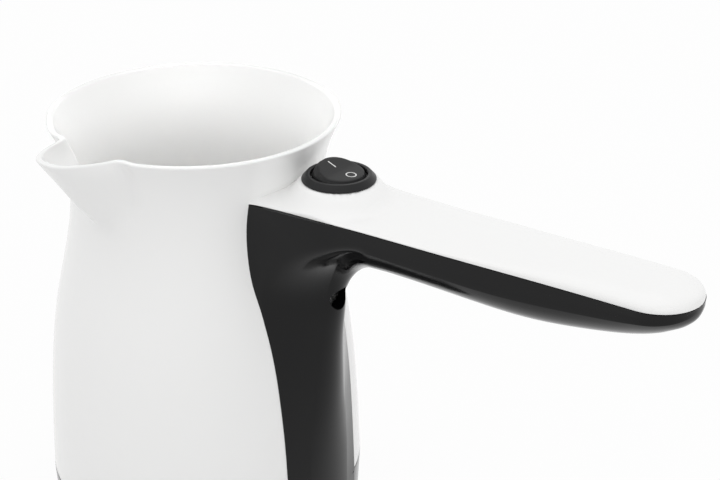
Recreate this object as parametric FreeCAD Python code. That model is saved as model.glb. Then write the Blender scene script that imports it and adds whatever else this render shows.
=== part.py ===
import FreeCAD, Part
import math
import os

# Electric coffee pot with a long handle, in millimetres.
# The origin is on the pot's axis, on the surface it stands on. +X runs along the handle, +Z is up.

# Pot, seen from outside. Heights of the pot are counted from the white body's lower edge.
foot_height = 1.5
base_height = 16.0
body_height = 125.0
bottom_radius = 52.9
neck_radius = 41.1
neck_height = 99.0
rim_radius = 47.25
body_wall = 2.4

# Outline between the lower edge and the neck: share of the height, share of the extra radius.
belly_shape = [(0.21, 0.931), (0.42, 0.808), (0.63, 0.562), (0.84, 0.171)]
# Flare from the neck to the rim: the radius grows with this power of the height.
flare_power = 2.4
flare_steps = 4

# Pouring spout.
spout_azimuth = -96.5
spout_half_angle = 17.0
spout_reach = 16.8
spout_rise = 2.0
spout_depth = 28.0
spout_ridge_radius = 3.0

# Seat of the heating plate.
skirt_inner_radius = 50.2
seat_height = 28.0
ledge_thickness = 2.0
floor_opening_radius = 41.5

# Channel for the leads, pressed into the body wall behind the handle column.
channel_half_width = 5.0
channel_depth = 4.6
channel_low = 17.5
channel_high = 98.0
channel_slope = 3.0
rib_half_width = 7.4
rib_high = 106.0
skirt_slot_half_width = 9.0
skirt_slot_high = 27.0

# Heating plate and what is clamped or brazed under it.
plate_thickness = 0.8
plate_rim_radius = 44.6
plate_rise = 4.2
plate_dome_radius = 37.5
seal_thickness = 1.2
clamp_thickness = 1.4
clamp_outer_radius = 49.4
clamp_inner_radius = 42.6
clamp_screw_circle = 47.5
clamp_screw_count = 4
clamp_screw_radius = 1.5
clamp_boss_radius = 2.6
clamp_head_radius = 2.5
spreader_radius = 34.0
spreader_thickness = 2.5
heater_ring_radius = 28.0
heater_tube_radius = 3.3
heater_gap_half_angle = 40.0
heater_end_bend = 6.0
heater_flat = 0.2
pin_radius = 1.2
pin_length = 4.0
bead_radius = 2.3
bead_length = 2.6

# Thermostat and its bracket, on the axis.
thermostat_cap_radius = 8.0
thermostat_cap_height = 3.2
thermostat_body_radius = 8.4
thermostat_body_height = 8.0
bracket_thickness = 0.8
bracket_half_length = 16.5
bracket_half_width = 5.0
bracket_screw_place = 13.0
small_screw_radius = 1.25
clamp_hole_depth = 3.6
base_hole_depth = 4.5

# Thermal fuse in its sleeve.
fuse_place = (0.0, -16.0)
fuse_radius = 2.0
fuse_length = 11.0
sleeve_radius = 2.9
sleeve_length = 18.0

# Base housing.
housing_wall = 2.2
housing_floor = 2.2
housing_low_radius = 52.2
housing_edge_round = 1.6
spigot_height = 2.6
spigot_wall = 1.4
spigot_clearance = 0.2
post_circle = 47.2
post_radius = 3.4
base_post_radius = 4.6
post_neck_radius = 2.8
screw_pocket_height = 10.0
post_azimuths = (60.0, 180.0, 300.0)
base_screw_radius = 1.5
screw_head_radius = 2.8
screw_head_height = 2.0
foot_circle = 40.0
foot_radius = 5.0
foot_azimuths = (45.0, 135.0, 225.0, 315.0)
foot_recess = 0.8
vent_circle = 18.0
vent_count = 6
vent_width = 3.0
vent_length = 12.0

# Cord inlet, in the base below the handle.
inlet_height = 9.0
inlet_bore_radius = 3.1
inlet_neck_radius = 4.6
inlet_flange_radius = 6.0
inlet_flange_thickness = 1.6
inlet_inner_length = 3.0

# Terminal block on the base floor.
block_place = (36.0, 0.0)
block_length = 24.0
block_width = 12.0
block_height = 9.0
pole_spacing = 8.0
pole_height = 8.5
block_insert_radius = 1.9
block_screw_radius = 1.4

# Leads inside the housings.
lead_radius = 1.2
receptacle_width = 5.8
receptacle_thickness = 2.2
receptacle_length = 7.0
receptacle_barrel = 2.4
barrel_crimp_radius = 1.7
blade_width = 4.8
blade_thickness = 0.8

# Handle, outer shape. Column heights are counted from the white body's lower edge.
parting_height = 109.2
handle_wall = 2.2
handle_gap = 0.15
# Height, back line, half width and depth of the back, half width at the body.
column_shape = [
    (0.0, 54.0, 8.8, 1.2, 17.0),
    (12.0, 54.2, 8.9, 1.4, 17.2),
    (25.0, 54.6, 8.9, 1.9, 17.5),
    (40.0, 55.3, 8.4, 2.4, 17.9),
    (52.0, 55.9, 7.4, 2.4, 18.1),
    (64.0, 56.6, 6.6, 2.3, 18.3),
    (76.0, 57.5, 6.2, 2.2, 18.5),
]
# Step between the column's side and the pot's surface, and the first row of its cavity.
column_step = 0.5
cavity_row = 3
bend_radius = 17.0
# Angle round the bend, half width and depth of the underside, half width and depth of the side.
bend_shape = [
    (15.0, 6.8, 2.4, 18.1, 15.6),
    (30.0, 8.0, 3.0, 17.7, 14.2),
    (45.0, 10.0, 4.3, 17.2, 13.2),
    (60.0, 12.4, 6.2, 16.7, 12.8),
    (75.0, 14.4, 8.2, 16.2, 12.8),
]
# Place along the handle, half width, height of the underside, height of the side's lower edge.
arm_shape = [
    (74.5, 15.8, 93.0, 102.6),
    (92.0, 15.3, 93.1, 102.1),
    (110.0, 14.7, 91.8, 101.4),
    (130.0, 13.9, 90.8, 101.4),
    (150.0, 13.4, 91.9, 102.5),
    (166.0, 13.4, 95.2, 104.3),
]
tip_radius = 13.4
# Angle round the tip, share of the underside's depth, share of the side's depth.
tip_shape = [(25.0, 0.80, 0.88), (48.0, 0.60, 0.72), (66.0, 0.42, 0.55), (79.0, 0.26, 0.38)]

# Handle cover: place along the handle and height of the crown above the parting plane.
crown_shape = [
    (30.0, 6.4), (57.4, 6.4), (76.0, 5.4), (92.0, 4.4),
    (110.0, 3.9), (130.0, 4.3), (150.0, 5.0), (166.0, 5.2),
]
crown_power = 2.5
cover_wall = 2.0
cover_gap = 0.2
tab_places = (96.0, 142.0)
tab_length = 8.0
tab_thickness = 1.4
tab_drop = 3.5

# Handle screw in the recess below the bend, and the boss that it enters.
handle_screw_height = 75.6
handle_screw_radius = 2.0
handle_screw_head_radius = 3.4
handle_screw_head_height = 2.4
screw_recess_radius = 3.9
screw_recess_floor = 52.0
body_boss_radius = 4.5
body_boss_end = 49.5
screw_hole_end = 44.0
handle_boss_radius = 5.6
insert_radius = 2.9
insert_length = 5.0

# Hooks at the foot of the handle, in the slot of the skirt.
hook_near = 5.4
hook_far = 8.4
hook_low = 2.2
hook_thickness = 2.4
hook_inner = 47.6

# Round rocker switch in the handle cover.
switch_place = 57.4
switch_seat = 116.0
bezel_radius = 11.5
bezel_height = 2.0
bezel_round = 1.2
opening_radius = 8.75
barrel_radius = 9.95
barrel_depth = 12.6
switch_floor = 1.0
panel_clearance = 0.05
pad_top_radius = 12.2
pad_low_radius = 16.0
pad_drop = 4.2

# Rocker, about its pivot.
pivot_drop = 1.0
rocker_radius = 8.55
rocker_top = 3.9
rocker_facet = 6.0
rocker_low = 1.4
rocker_wall = 1.5
rocker_tilt = 13.0
rocker_pin_radius = 1.2
rocker_pin_end = 9.45
pin_clearance = 0.05
stem_radius = 2.7
stem_length = 6.0

# Plunger, its spring, and the contact lever.
plunger_radius = 1.5
plunger_clearance = 0.06
plunger_length = 4.6
plunger_tip = 7.6
spring_radius = 1.1
spring_wire = 0.18
spring_turns = 4
lever_height = 106.6
lever_half_length = 6.6
lever_width = 3.6
lever_thickness = 0.6
lever_tilt = 8.0
contact_place = 5.5
contact_radius = 1.2
contact_gap = 0.15
blade_low = 96.4


def vec(x, y, z):
    return FreeCAD.Vector(x, y, z)


def cylinder(radius, start, length, direction=(0, 0, 1)):
    return Part.makeCylinder(radius, length, vec(*start), vec(*direction))


def box(low, high):
    size = [high[i] - low[i] for i in range(3)]
    return Part.makeBox(size[0], size[1], size[2], vec(*low))


def polar(radius, azimuth, height=0.0):
    angle = math.radians(azimuth)
    return vec(radius * math.cos(angle), radius * math.sin(angle), height)


def line(start, end):
    return Part.LineSegment(start, end).toShape()


def arc(start, middle, end):
    return Part.Arc(start, middle, end).toShape()


def polygon(points):
    return Part.makePolygon(points + [points[0]])


def extrude(points, direction):
    return Part.Face(polygon(points)).extrude(direction)


def turned(edges):
    face = Part.Face(Part.Wire(edges))
    return face.revolve(vec(0, 0, 0), vec(0, 0, 1), 360)


def turned_outline(points):
    """Solid of revolution about the pot's axis from corners given as (radius, height)."""
    corners = [vec(radius, 0, height) for radius, height in points]
    return turned(polygon(corners).Edges)


def fuse(shapes):
    joined = shapes[0].fuse(shapes[1:])
    return joined.removeSplitter()


def about(shape, centre, axis, angle):
    copy = shape.copy()
    copy.rotate(vec(*centre), vec(*axis), angle)
    return copy


# Pot outline.

def pot_points(inset):
    extra = bottom_radius - neck_radius
    points = [vec(bottom_radius - inset, 0, base_height)]
    for height_share, radius_share in belly_shape:
        radius = neck_radius + extra * radius_share - inset
        points.append(vec(radius, 0, base_height + neck_height * height_share))
    points.append(vec(neck_radius - inset, 0, base_height + neck_height))
    flare_height = body_height - neck_height
    for step in range(1, flare_steps + 1):
        share = step / flare_steps
        radius = neck_radius + (rim_radius - neck_radius) * share ** flare_power - inset
        points.append(vec(radius, 0, base_height + neck_height + flare_height * share))
    return points


def pot_curve(inset):
    curve = Part.BSplineCurve()
    curve.interpolate(pot_points(inset))
    return curve


outer_curve = pot_curve(0.0)
rim_height = base_height + body_height


def curve_parameter(curve, height):
    low = curve.FirstParameter
    high = curve.LastParameter
    for step in range(50):
        middle = 0.5 * (low + high)
        if curve.value(middle).z < height:
            low = middle
        else:
            high = middle
    return low


def pot_radius(height):
    """Outer radius of the white body at a height above the standing surface."""
    return outer_curve.value(curve_parameter(outer_curve, height)).x


def pot_solid(inset):
    """Full turned solid inside the body's outline, moved inwards by inset."""
    curve = pot_curve(inset)
    low = curve.value(curve.FirstParameter)
    high = curve.value(curve.LastParameter)
    edges = [
        line(vec(0, 0, low.z), low),
        curve.toShape(),
        line(high, vec(0, 0, high.z)),
        line(vec(0, 0, high.z), vec(0, 0, low.z)),
    ]
    return turned(edges)


def body_wall_ring():
    """Wall, lip, rounded floor ledge and skirt, all turned."""
    inner = pot_curve(body_wall)
    lip = 0.5 * body_wall
    cove = pot_radius(seat_height + ledge_thickness) - body_wall - floor_opening_radius
    cove_top = seat_height + ledge_thickness + cove
    outer_top = outer_curve.value(curve_parameter(outer_curve, rim_height - lip))
    inner_top = inner.value(curve_parameter(inner, rim_height - lip))
    inner_low = inner.value(curve_parameter(inner, cove_top))
    cove_radius = inner_low.x - floor_opening_radius
    floor_top = cove_top - cove_radius
    diagonal = cove_radius * math.sqrt(0.5)
    cove_middle = vec(floor_opening_radius + diagonal, 0, cove_top - diagonal)
    lip_top = vec(0.5 * (outer_top.x + inner_top.x), 0, rim_height)
    outer_end = curve_parameter(outer_curve, rim_height - lip)
    outer_edge = outer_curve.toShape(outer_curve.FirstParameter, outer_end)
    inner_edge = inner.toShape(curve_parameter(inner, cove_top), curve_parameter(inner, rim_height - lip))
    low = outer_curve.value(outer_curve.FirstParameter)
    edges = [
        outer_edge,
        arc(outer_top, lip_top, inner_top),
        inner_edge,
        arc(inner_low, cove_middle, vec(floor_opening_radius, 0, floor_top)),
        line(vec(floor_opening_radius, 0, floor_top), vec(floor_opening_radius, 0, seat_height)),
        line(vec(floor_opening_radius, 0, seat_height), vec(skirt_inner_radius, 0, seat_height)),
        line(vec(skirt_inner_radius, 0, seat_height), vec(skirt_inner_radius, 0, low.z)),
        line(vec(skirt_inner_radius, 0, low.z), low),
    ]
    return turned(edges)


def spout_corners(inset):
    """Tip, both notches at the rim, the ridge's foot and a point inside, moved inwards by inset."""
    tip = polar(rim_radius + spout_reach - 1.6 * inset, spout_azimuth, rim_height + spout_rise + 0.5 * inset)
    notch_half = spout_half_angle - math.degrees(1.3 * inset / rim_radius)
    near = polar(rim_radius - 0.3, spout_azimuth + notch_half, rim_height + 0.5 * inset)
    far = polar(rim_radius - 0.3, spout_azimuth - notch_half, rim_height + 0.5 * inset)
    foot_level = rim_height - spout_depth + 1.5 * inset
    foot = polar(pot_radius(foot_level) - inset - 0.6, spout_azimuth, foot_level)
    inside = polar(rim_radius - 9.0, spout_azimuth, rim_height + 0.5 * inset)
    return tip, near, far, foot, inside


def outward_face(corners, middle):
    """Three-cornered face whose outer side looks away from a point in the middle."""
    normal = (corners[1] - corners[0]).cross(corners[2] - corners[0])
    if normal.dot(corners[0] - middle) < 0:
        corners = corners[::-1]
    return Part.Face(polygon(corners))


def spout_solid(inset):
    tip, near, far, foot, inside = spout_corners(inset)
    middle = (tip + near + far + foot + inside) * 0.2
    faces = [
        outward_face([tip, near, foot], middle),
        outward_face([tip, foot, far], middle),
        outward_face([near, inside, foot], middle),
        outward_face([inside, far, foot], middle),
        outward_face([tip, inside, near], middle),
        outward_face([tip, far, inside], middle),
    ]
    solid = Part.Solid(Part.Shell(faces))
    ridge = [edge for edge in solid.Edges if is_edge_between(edge, tip, foot)]
    return solid.makeFillet(max(spout_ridge_radius - inset, 0.5), ridge)


def is_edge_between(edge, first, second):
    ends = [vertex.Point for vertex in edge.Vertexes]
    straight = ends[0].distanceToPoint(first) + ends[1].distanceToPoint(second)
    swapped = ends[0].distanceToPoint(second) + ends[1].distanceToPoint(first)
    return min(straight, swapped) < 0.001


def slanted_block(half_width, low, high, slant):
    """Upright block on the handle side whose upper end slopes, to shape the rib and the channel."""
    reach = bottom_radius + 5.0
    inner = reach - 16.0
    outline = [vec(inner, -half_width, low), vec(reach, -half_width, low), vec(reach, -half_width, high)]
    outline.append(vec(inner, -half_width, high - slant * (reach - inner)))
    return extrude(outline, vec(0, 2 * half_width, 0))


def clamp_screw_places():
    step = 360.0 / clamp_screw_count
    return [polar(clamp_screw_circle, 45.0 + index * step) for index in range(clamp_screw_count)]


def post_places():
    return [polar(post_circle, azimuth) for azimuth in post_azimuths]


plate_rim_low = seat_height - seal_thickness - plate_thickness
clamp_low = plate_rim_low - clamp_thickness
screw_level = base_height + handle_screw_height
spigot_top = base_height + spigot_height
body_post_low = spigot_top + 0.4
body_post_high = clamp_low - 0.6


def make_body_shell():
    wall = body_wall_ring()
    wall = wall.fuse(spout_solid(0.0).cut(pot_solid(0.5 * body_wall)))
    wall = wall.cut(spout_solid(body_wall))
    rib_block = slanted_block(rib_half_width, channel_low, rib_high, channel_slope)
    rib = pot_solid(0.3).cut(pot_solid(channel_depth + body_wall)).common(rib_block)
    boss_start = pot_radius(screw_level) - 1.0
    boss_length = body_boss_end - boss_start
    bosses = [cylinder(body_boss_radius, (boss_start, 0, screw_level), boss_length, (1, 0, 0))]
    for place in clamp_screw_places():
        boss_length = seat_height - plate_rim_low + 1
        bosses.append(cylinder(clamp_boss_radius, (place.x, place.y, plate_rim_low), boss_length))
    for place in post_places():
        post_length = body_post_high - body_post_low
        bosses.append(cylinder(post_radius, (place.x, place.y, body_post_low), post_length))
    body = wall.fuse([rib] + bosses)
    skirt_inside = skirt_inner_radius - 6.0
    skirt_outside = bottom_radius + 1.0
    groove_block = slanted_block(channel_half_width, channel_low, channel_high, channel_slope)
    cuts = [pot_solid(-2.0).cut(pot_solid(channel_depth)).common(groove_block)]
    hook_top = base_height + hook_low + hook_thickness + 0.3
    low = (skirt_inside, -skirt_slot_half_width, base_height - 1)
    cuts.append(box(low, (skirt_outside, skirt_slot_half_width, hook_top)))
    low = (skirt_inside, -channel_half_width, base_height - 1)
    cuts.append(box(low, (skirt_outside, channel_half_width, skirt_slot_high)))
    insert_start = (body_boss_end - insert_length, 0, screw_level)
    cuts.append(cylinder(insert_radius, insert_start, insert_length + 1, (1, 0, 0)))
    hole_length = body_boss_end - screw_hole_end
    cuts.append(cylinder(handle_screw_radius, (screw_hole_end, 0, screw_level), hole_length, (1, 0, 0)))
    for place in clamp_screw_places():
        cuts.append(cylinder(clamp_screw_radius, (place.x, place.y, plate_rim_low - 1), clamp_hole_depth + 1))
    for place in post_places():
        cuts.append(cylinder(base_screw_radius, (place.x, place.y, body_post_low - 1), base_hole_depth + 1))
    return body.cut(cuts)


# Heating plate, seal, clamp and heater.

def make_plate_seal():
    return turned_outline([
        (floor_opening_radius, seat_height - seal_thickness),
        (plate_rim_radius, seat_height - seal_thickness),
        (plate_rim_radius, seat_height),
        (floor_opening_radius, seat_height),
    ])


def make_heating_plate():
    top = plate_rim_low + plate_thickness
    raised = top + plate_rise
    step = floor_opening_radius - 1.2
    return turned_outline([
        (0, raised - plate_thickness),
        (plate_dome_radius - 0.4, raised - plate_thickness),
        (step - plate_thickness, plate_rim_low),
        (plate_rim_radius, plate_rim_low),
        (plate_rim_radius, top),
        (step, top),
        (plate_dome_radius, raised),
        (0, raised),
    ])


def make_clamp_ring():
    ring = turned_outline([
        (clamp_inner_radius, clamp_low),
        (clamp_outer_radius, clamp_low),
        (clamp_outer_radius, plate_rim_low),
        (clamp_inner_radius, plate_rim_low),
    ])
    rib_radius = pot_radius(seat_height) - channel_depth - body_wall
    inner_wall = math.sqrt(rib_radius ** 2 - rib_half_width ** 2) - 0.4
    notch_low = (inner_wall, -rib_half_width - 0.5, clamp_low - 1)
    cuts = [box(notch_low, (bottom_radius, rib_half_width + 0.5, plate_rim_low + 1))]
    for place in clamp_screw_places():
        cuts.append(cylinder(clamp_screw_radius, (place.x, place.y, clamp_low - 1), clamp_thickness + 2))
    return ring.cut(cuts)


def screw(place, head_radius, head_height, shank_radius, shank_length, direction, slot=0.8):
    """Pan head with a cross recess at place, shank along direction."""
    head = cylinder(head_radius, place, head_height, direction)
    head = head.makeFillet(0.35 * head_height, [head.Edges[2]]) if direction == (0, 0, -1) else head
    start = vec(*place) + vec(*direction) * head_height
    body = head.fuse(Part.makeCylinder(shank_radius, shank_length, start, vec(*direction)))
    axis = vec(*direction)
    side = vec(0, 1, 0)
    other = axis.cross(side)
    for along, across in ((side, other), (other, side)):
        corner = vec(*place) - along * (0.55 * head_radius) - across * (0.5 * slot) - axis * 0.1
        reach = [along * (1.1 * head_radius), across * slot, axis * (0.55 * head_height + 0.1)]
        points = [corner, corner + reach[0], corner + reach[0] + reach[1], corner + reach[1]]
        body = body.cut(extrude(points, reach[2]))
    return body


def make_clamp_screws():
    screws = []
    for place in clamp_screw_places():
        start = (place.x, place.y, clamp_low - screw_head_height)
        length = clamp_thickness + clamp_hole_depth
        head = (clamp_head_radius, screw_head_height)
        screws.append(screw(start, *head, clamp_screw_radius, length, (0, 0, 1)))
    return Part.makeCompound(screws)


spreader_top = plate_rim_low + plate_rise
spreader_low = spreader_top - spreader_thickness
heater_level = spreader_low + heater_flat - heater_tube_radius


def bracket_screw_places():
    return [vec(-bracket_screw_place, 0, 0), vec(bracket_screw_place, 0, 0)]


def make_heat_spreader():
    disc = Part.makeCylinder(spreader_radius, spreader_thickness, vec(0, 0, spreader_low))
    holes = []
    for place in bracket_screw_places():
        hole_start = (place.x, place.y, spreader_low - 1)
        holes.append(cylinder(small_screw_radius, hole_start, spreader_thickness - 0.4 + 1))
    return disc.cut(holes)


def heater_end(side):
    """Start of the vertical end on one side: its place and the direction in which the ring arrives."""
    angle = math.radians(heater_gap_half_angle)
    end = polar(heater_ring_radius, side * heater_gap_half_angle, heater_level)
    along = vec(math.sin(angle), -side * math.cos(angle), 0)
    return end, along


def make_heater_element():
    ring_middle = vec(-heater_ring_radius, 0, heater_level)
    first, first_way = heater_end(1)
    last, last_way = heater_end(-1)
    edges = []
    drop = vec(0, 0, -heater_end_bend)
    quarter = math.sqrt(0.5)
    for end, way in ((first, first_way), (last, last_way)):
        centre = end + drop
        middle = centre + (way + vec(0, 0, 1)) * (heater_end_bend * quarter)
        edges.append(arc(end, middle, centre + way * heater_end_bend))
    path = Part.Wire([edges[0], arc(first, ring_middle, last), edges[1]])
    start = first + drop + first_way * heater_end_bend
    profile = Part.Wire([Part.Circle(start, vec(0, 0, 1), heater_tube_radius).toShape()])
    tube = path.makePipeShell([profile], True, False)
    flat_low = (-60, -60, spreader_low)
    return tube.cut(box(flat_low, (60, 60, spreader_low + 5)))


def pin_places():
    places = []
    for side in (1, -1):
        end, way = heater_end(side)
        places.append(end + vec(0, 0, -heater_end_bend) + way * heater_end_bend)
    return places


def make_heater_beads():
    beads = []
    for place in pin_places():
        bead = cylinder(bead_radius, (place.x, place.y, place.z - bead_length), bead_length)
        beads.append(bead.cut(cylinder(pin_radius, (place.x, place.y, place.z - bead_length), bead_length)))
    return Part.makeCompound(beads)


def make_heater_pins():
    pins = []
    for place in pin_places():
        pins.append(cylinder(pin_radius, (place.x, place.y, place.z - pin_length), pin_length))
    return Part.makeCompound(pins)


cap_low = spreader_low - thermostat_cap_height
thermostat_low = cap_low - thermostat_body_height
bracket_low = cap_low - bracket_thickness
thermostat_blade_level = thermostat_low + 1.2


def make_thermostat_cap():
    return Part.makeCylinder(thermostat_cap_radius, thermostat_cap_height, vec(0, 0, cap_low))


def make_thermostat_body():
    low_height = thermostat_body_height - bracket_thickness
    low = Part.makeCylinder(thermostat_body_radius, low_height, vec(0, 0, thermostat_low))
    neck = Part.makeCylinder(thermostat_cap_radius - 1, bracket_thickness, vec(0, 0, bracket_low))
    return fuse([low, neck]).cut(make_thermostat_blades())


def make_thermostat_bracket():
    low = (-bracket_half_length, -bracket_half_width, bracket_low)
    strip = box(low, (bracket_half_length, bracket_half_width, bracket_low + bracket_thickness))
    pad = Part.makeCylinder(thermostat_cap_radius + 1.5, bracket_thickness, vec(0, 0, bracket_low))
    cuts = [Part.makeCylinder(thermostat_cap_radius - 1, 4, vec(0, 0, bracket_low - 1))]
    spacers = []
    for place in bracket_screw_places():
        spacers.append(cylinder(2.4, (place.x, place.y, bracket_low), spreader_low - bracket_low))
        cuts.append(cylinder(small_screw_radius, (place.x, place.y, bracket_low - 1), 8))
    return fuse([strip, pad] + spacers).cut(cuts)


def make_bracket_screws():
    screws = []
    for place in bracket_screw_places():
        start = (place.x, place.y, bracket_low - 1.6)
        length = spreader_low - bracket_low + spreader_thickness - 0.4
        screws.append(screw(start, 2.3, 1.6, small_screw_radius, length, (0, 0, 1)))
    return Part.makeCompound(screws)


def make_thermostat_blades():
    blades = []
    for side in (-1, 1):
        start = side * (thermostat_body_radius - 1.5)
        end = side * (thermostat_body_radius + receptacle_length)
        low = (-0.5 * blade_width, min(start, end), thermostat_blade_level)
        high = (0.5 * blade_width, max(start, end), thermostat_blade_level + blade_thickness)
        blades.append(box(low, high))
    return blades


def make_thermostat_receptacles():
    sleeves = []
    middle = thermostat_blade_level + 0.5 * blade_thickness
    for side in (-1, 1):
        start = side * (thermostat_body_radius + 0.6)
        end = start + side * receptacle_length
        low = (-0.5 * receptacle_width, min(start, end), middle - 0.5 * receptacle_thickness)
        high = (0.5 * receptacle_width, max(start, end), middle + 0.5 * receptacle_thickness)
        barrel = cylinder(barrel_crimp_radius, (0, end, middle), receptacle_barrel, (0, side, 0))
        sleeves.append(fuse([box(low, high), barrel]))
    return Part.makeCompound(sleeves).cut(make_thermostat_blades())


# Thermal fuse.

fuse_level = spreader_low - sleeve_radius - 0.1


def make_thermal_fuse():
    start = (fuse_place[0] - 0.5 * fuse_length, fuse_place[1], fuse_level)
    barrel = cylinder(fuse_radius, start, fuse_length, (1, 0, 0))
    pin_start = (fuse_place[0] - 0.5 * sleeve_length, fuse_place[1], fuse_level)
    return fuse([barrel, cylinder(0.5, pin_start, sleeve_length, (1, 0, 0))])


def make_fuse_sleeve():
    start = (fuse_place[0] - 0.5 * sleeve_length, fuse_place[1], fuse_level)
    return cylinder(sleeve_radius, start, sleeve_length, (1, 0, 0)).cut(
        cylinder(fuse_radius, start, sleeve_length, (1, 0, 0)))


# Base housing, its screws and feet, the inlet and the terminal block.

def column_lobe():
    """Part of the base that carries the foot of the handle column on down to the standing edge."""
    outline = column_outline(*column_shape[0][1:], pot_radius(base_height), 0.0)
    return Part.Face(Part.Wire(outline)).extrude(vec(0, 0, base_height - foot_height))


def column_outline(back, half_back, depth, half_side, radius, level):
    """Closed outline of the column at one height, from the pot's axis side out to its back."""
    side_x = math.sqrt(radius ** 2 - half_side ** 2) + column_step
    inner = side_x - 8.0
    inner_half = half_side + 0.3
    pairs = [(inner, inner_half), (side_x, half_side), (back - depth, half_back)]
    left = [vec(x, -half, level) for x, half in pairs]
    right = [vec(x, half, level) for x, half in reversed(pairs)]
    return [
        line(left[0], left[1]),
        line(left[1], left[2]),
        arc(left[2], vec(back, 0, level), right[0]),
        line(right[0], right[1]),
        line(right[1], right[2]),
        line(right[2], left[0]),
    ]


def make_base_housing():
    low = foot_height
    floor_top = low + housing_floor
    spigot_outer = skirt_inner_radius - spigot_clearance
    spigot_inner = spigot_outer - spigot_wall
    inner = bottom_radius - housing_wall - 0.6
    round_x = housing_low_radius - housing_edge_round
    outside = [
        line(vec(0, 0, low), vec(round_x, 0, low)),
        arc(
            vec(round_x, 0, low),
            vec(housing_low_radius - housing_edge_round * 0.293, 0, low + housing_edge_round * 0.293),
            vec(housing_low_radius, 0, low + housing_edge_round),
        ),
        line(vec(housing_low_radius, 0, low + housing_edge_round), vec(bottom_radius, 0, base_height)),
        line(vec(bottom_radius, 0, base_height), vec(spigot_outer, 0, base_height)),
        line(vec(spigot_outer, 0, base_height), vec(spigot_outer, 0, spigot_top)),
        line(vec(spigot_outer, 0, spigot_top), vec(spigot_inner, 0, spigot_top)),
        line(vec(spigot_inner, 0, spigot_top), vec(spigot_inner, 0, floor_top)),
        line(vec(spigot_inner, 0, floor_top), vec(0, 0, floor_top)),
        line(vec(0, 0, floor_top), vec(0, 0, low)),
    ]
    housing = turned(outside)
    lobe = column_lobe()
    lobe.translate(vec(0, 0, foot_height))
    lobe = lobe.cut(Part.makeCylinder(inner, 2 * base_height))
    posts = []
    cuts = []
    for place in post_places():
        posts.append(cylinder(base_post_radius, (place.x, place.y, low), base_height - low))
        posts.append(cylinder(post_neck_radius, (place.x, place.y, low), spigot_top - low))
        cuts.append(cylinder(base_screw_radius, (place.x, place.y, low - 1), 2 * base_height))
        pocket_start = (place.x, place.y, low - 1)
        cuts.append(cylinder(screw_head_radius + 0.2, pocket_start, screw_pocket_height - low + 1))
    for place in foot_places():
        cuts.append(cylinder(foot_radius, (place.x, place.y, low - 1), foot_recess + 1))
        cuts.append(cylinder(0.4 * foot_radius, (place.x, place.y, low - 1), housing_floor + 2))
    for index in range(vent_count):
        slot_low = (vent_circle - 0.5 * vent_length, -0.5 * vent_width, low - 1)
        slot = box(slot_low, (vent_circle + 0.5 * vent_length, 0.5 * vent_width, floor_top + 1))
        cuts.append(about(slot, (0, 0, 0), (0, 0, 1), 30.0 + index * 360.0 / vent_count))
    inlet_start = (spigot_inner - 2.0, 0, inlet_height)
    cuts.append(cylinder(inlet_neck_radius, inlet_start, 12.0, (1, 0, 0)))
    flange_face = column_shape[0][1] - inlet_flange_thickness
    cuts.append(cylinder(inlet_flange_radius, (flange_face, 0, inlet_height), 12.0, (1, 0, 0)))
    gate = (spigot_inner - 1.0, -skirt_slot_half_width - 0.5, base_height + 0.01)
    cuts.append(box(gate, (bottom_radius + 6, skirt_slot_half_width + 0.5, spigot_top + 1)))
    return housing.fuse([lobe] + posts).cut(cuts)


def make_base_screws():
    screws = []
    for place in post_places():
        head_low = screw_pocket_height - screw_head_height
        length = body_post_low + base_hole_depth - screw_pocket_height
        start = (place.x, place.y, head_low)
        head = (screw_head_radius, screw_head_height)
        screws.append(screw(start, *head, base_screw_radius, length, (0, 0, 1)))
    return Part.makeCompound(screws)


def foot_places():
    return [vec(0, 0, 0)] + [polar(foot_circle, azimuth) for azimuth in foot_azimuths]


def make_rubber_feet():
    feet = []
    for place in foot_places():
        pad = cylinder(foot_radius, (place.x, place.y, 0), foot_height + foot_recess)
        pad = pad.makeFillet(0.5, [pad.Edges[2]])
        stem = cylinder(0.4 * foot_radius, (place.x, place.y, foot_height), housing_floor)
        cap_start = (place.x, place.y, foot_height + housing_floor)
        cap = Part.makeCone(0.6 * foot_radius, 0.3 * foot_radius, 1.6, vec(*cap_start))
        feet.append(fuse([pad, stem, cap]))
    return Part.makeCompound(feet)


def make_cord_bush():
    outer_face = column_shape[0][1]
    spigot_inner = skirt_inner_radius - spigot_clearance - spigot_wall
    flange = cylinder(inlet_flange_radius, (outer_face - inlet_flange_thickness, 0, inlet_height),
                      inlet_flange_thickness, (1, 0, 0))
    neck_start = (spigot_inner - inlet_inner_length, 0, inlet_height)
    neck_length = outer_face - spigot_inner + inlet_inner_length
    neck = cylinder(inlet_neck_radius, neck_start, neck_length, (1, 0, 0))
    bore = cylinder(inlet_bore_radius, (neck_start[0] - 1, 0, inlet_height), neck_length + 2, (1, 0, 0))
    return fuse([flange, neck]).cut(bore)


def pole_places():
    return [block_place[1] + shift * pole_spacing for shift in (-1, 0, 1)]


def make_terminal_block():
    floor_top = foot_height + housing_floor
    low = (block_place[0] - 0.5 * block_width, block_place[1] - 0.5 * block_length, floor_top)
    high = (block_place[0] + 0.5 * block_width, block_place[1] + 0.5 * block_length, floor_top + block_height)
    block = box(low, high)
    cuts = []
    for place in pole_places():
        cuts.append(cylinder(block_insert_radius, (low[0], place, pole_height), block_width, (1, 0, 0)))
        for share in (0.27, 0.73):
            across = low[0] + share * block_width
            cuts.append(cylinder(block_screw_radius, (across, place, pole_height), 20.0))
    return block.cut(cuts)


def make_block_inserts():
    inserts = []
    start = block_place[0] - 0.5 * block_width
    for place in pole_places():
        insert = cylinder(block_insert_radius, (start + 1, place, pole_height), block_width - 2, (1, 0, 0))
        insert = insert.cut(cylinder(lead_radius, (start, place, pole_height), block_width, (1, 0, 0)))
        inserts.append(insert)
    return Part.makeCompound(inserts)


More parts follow.
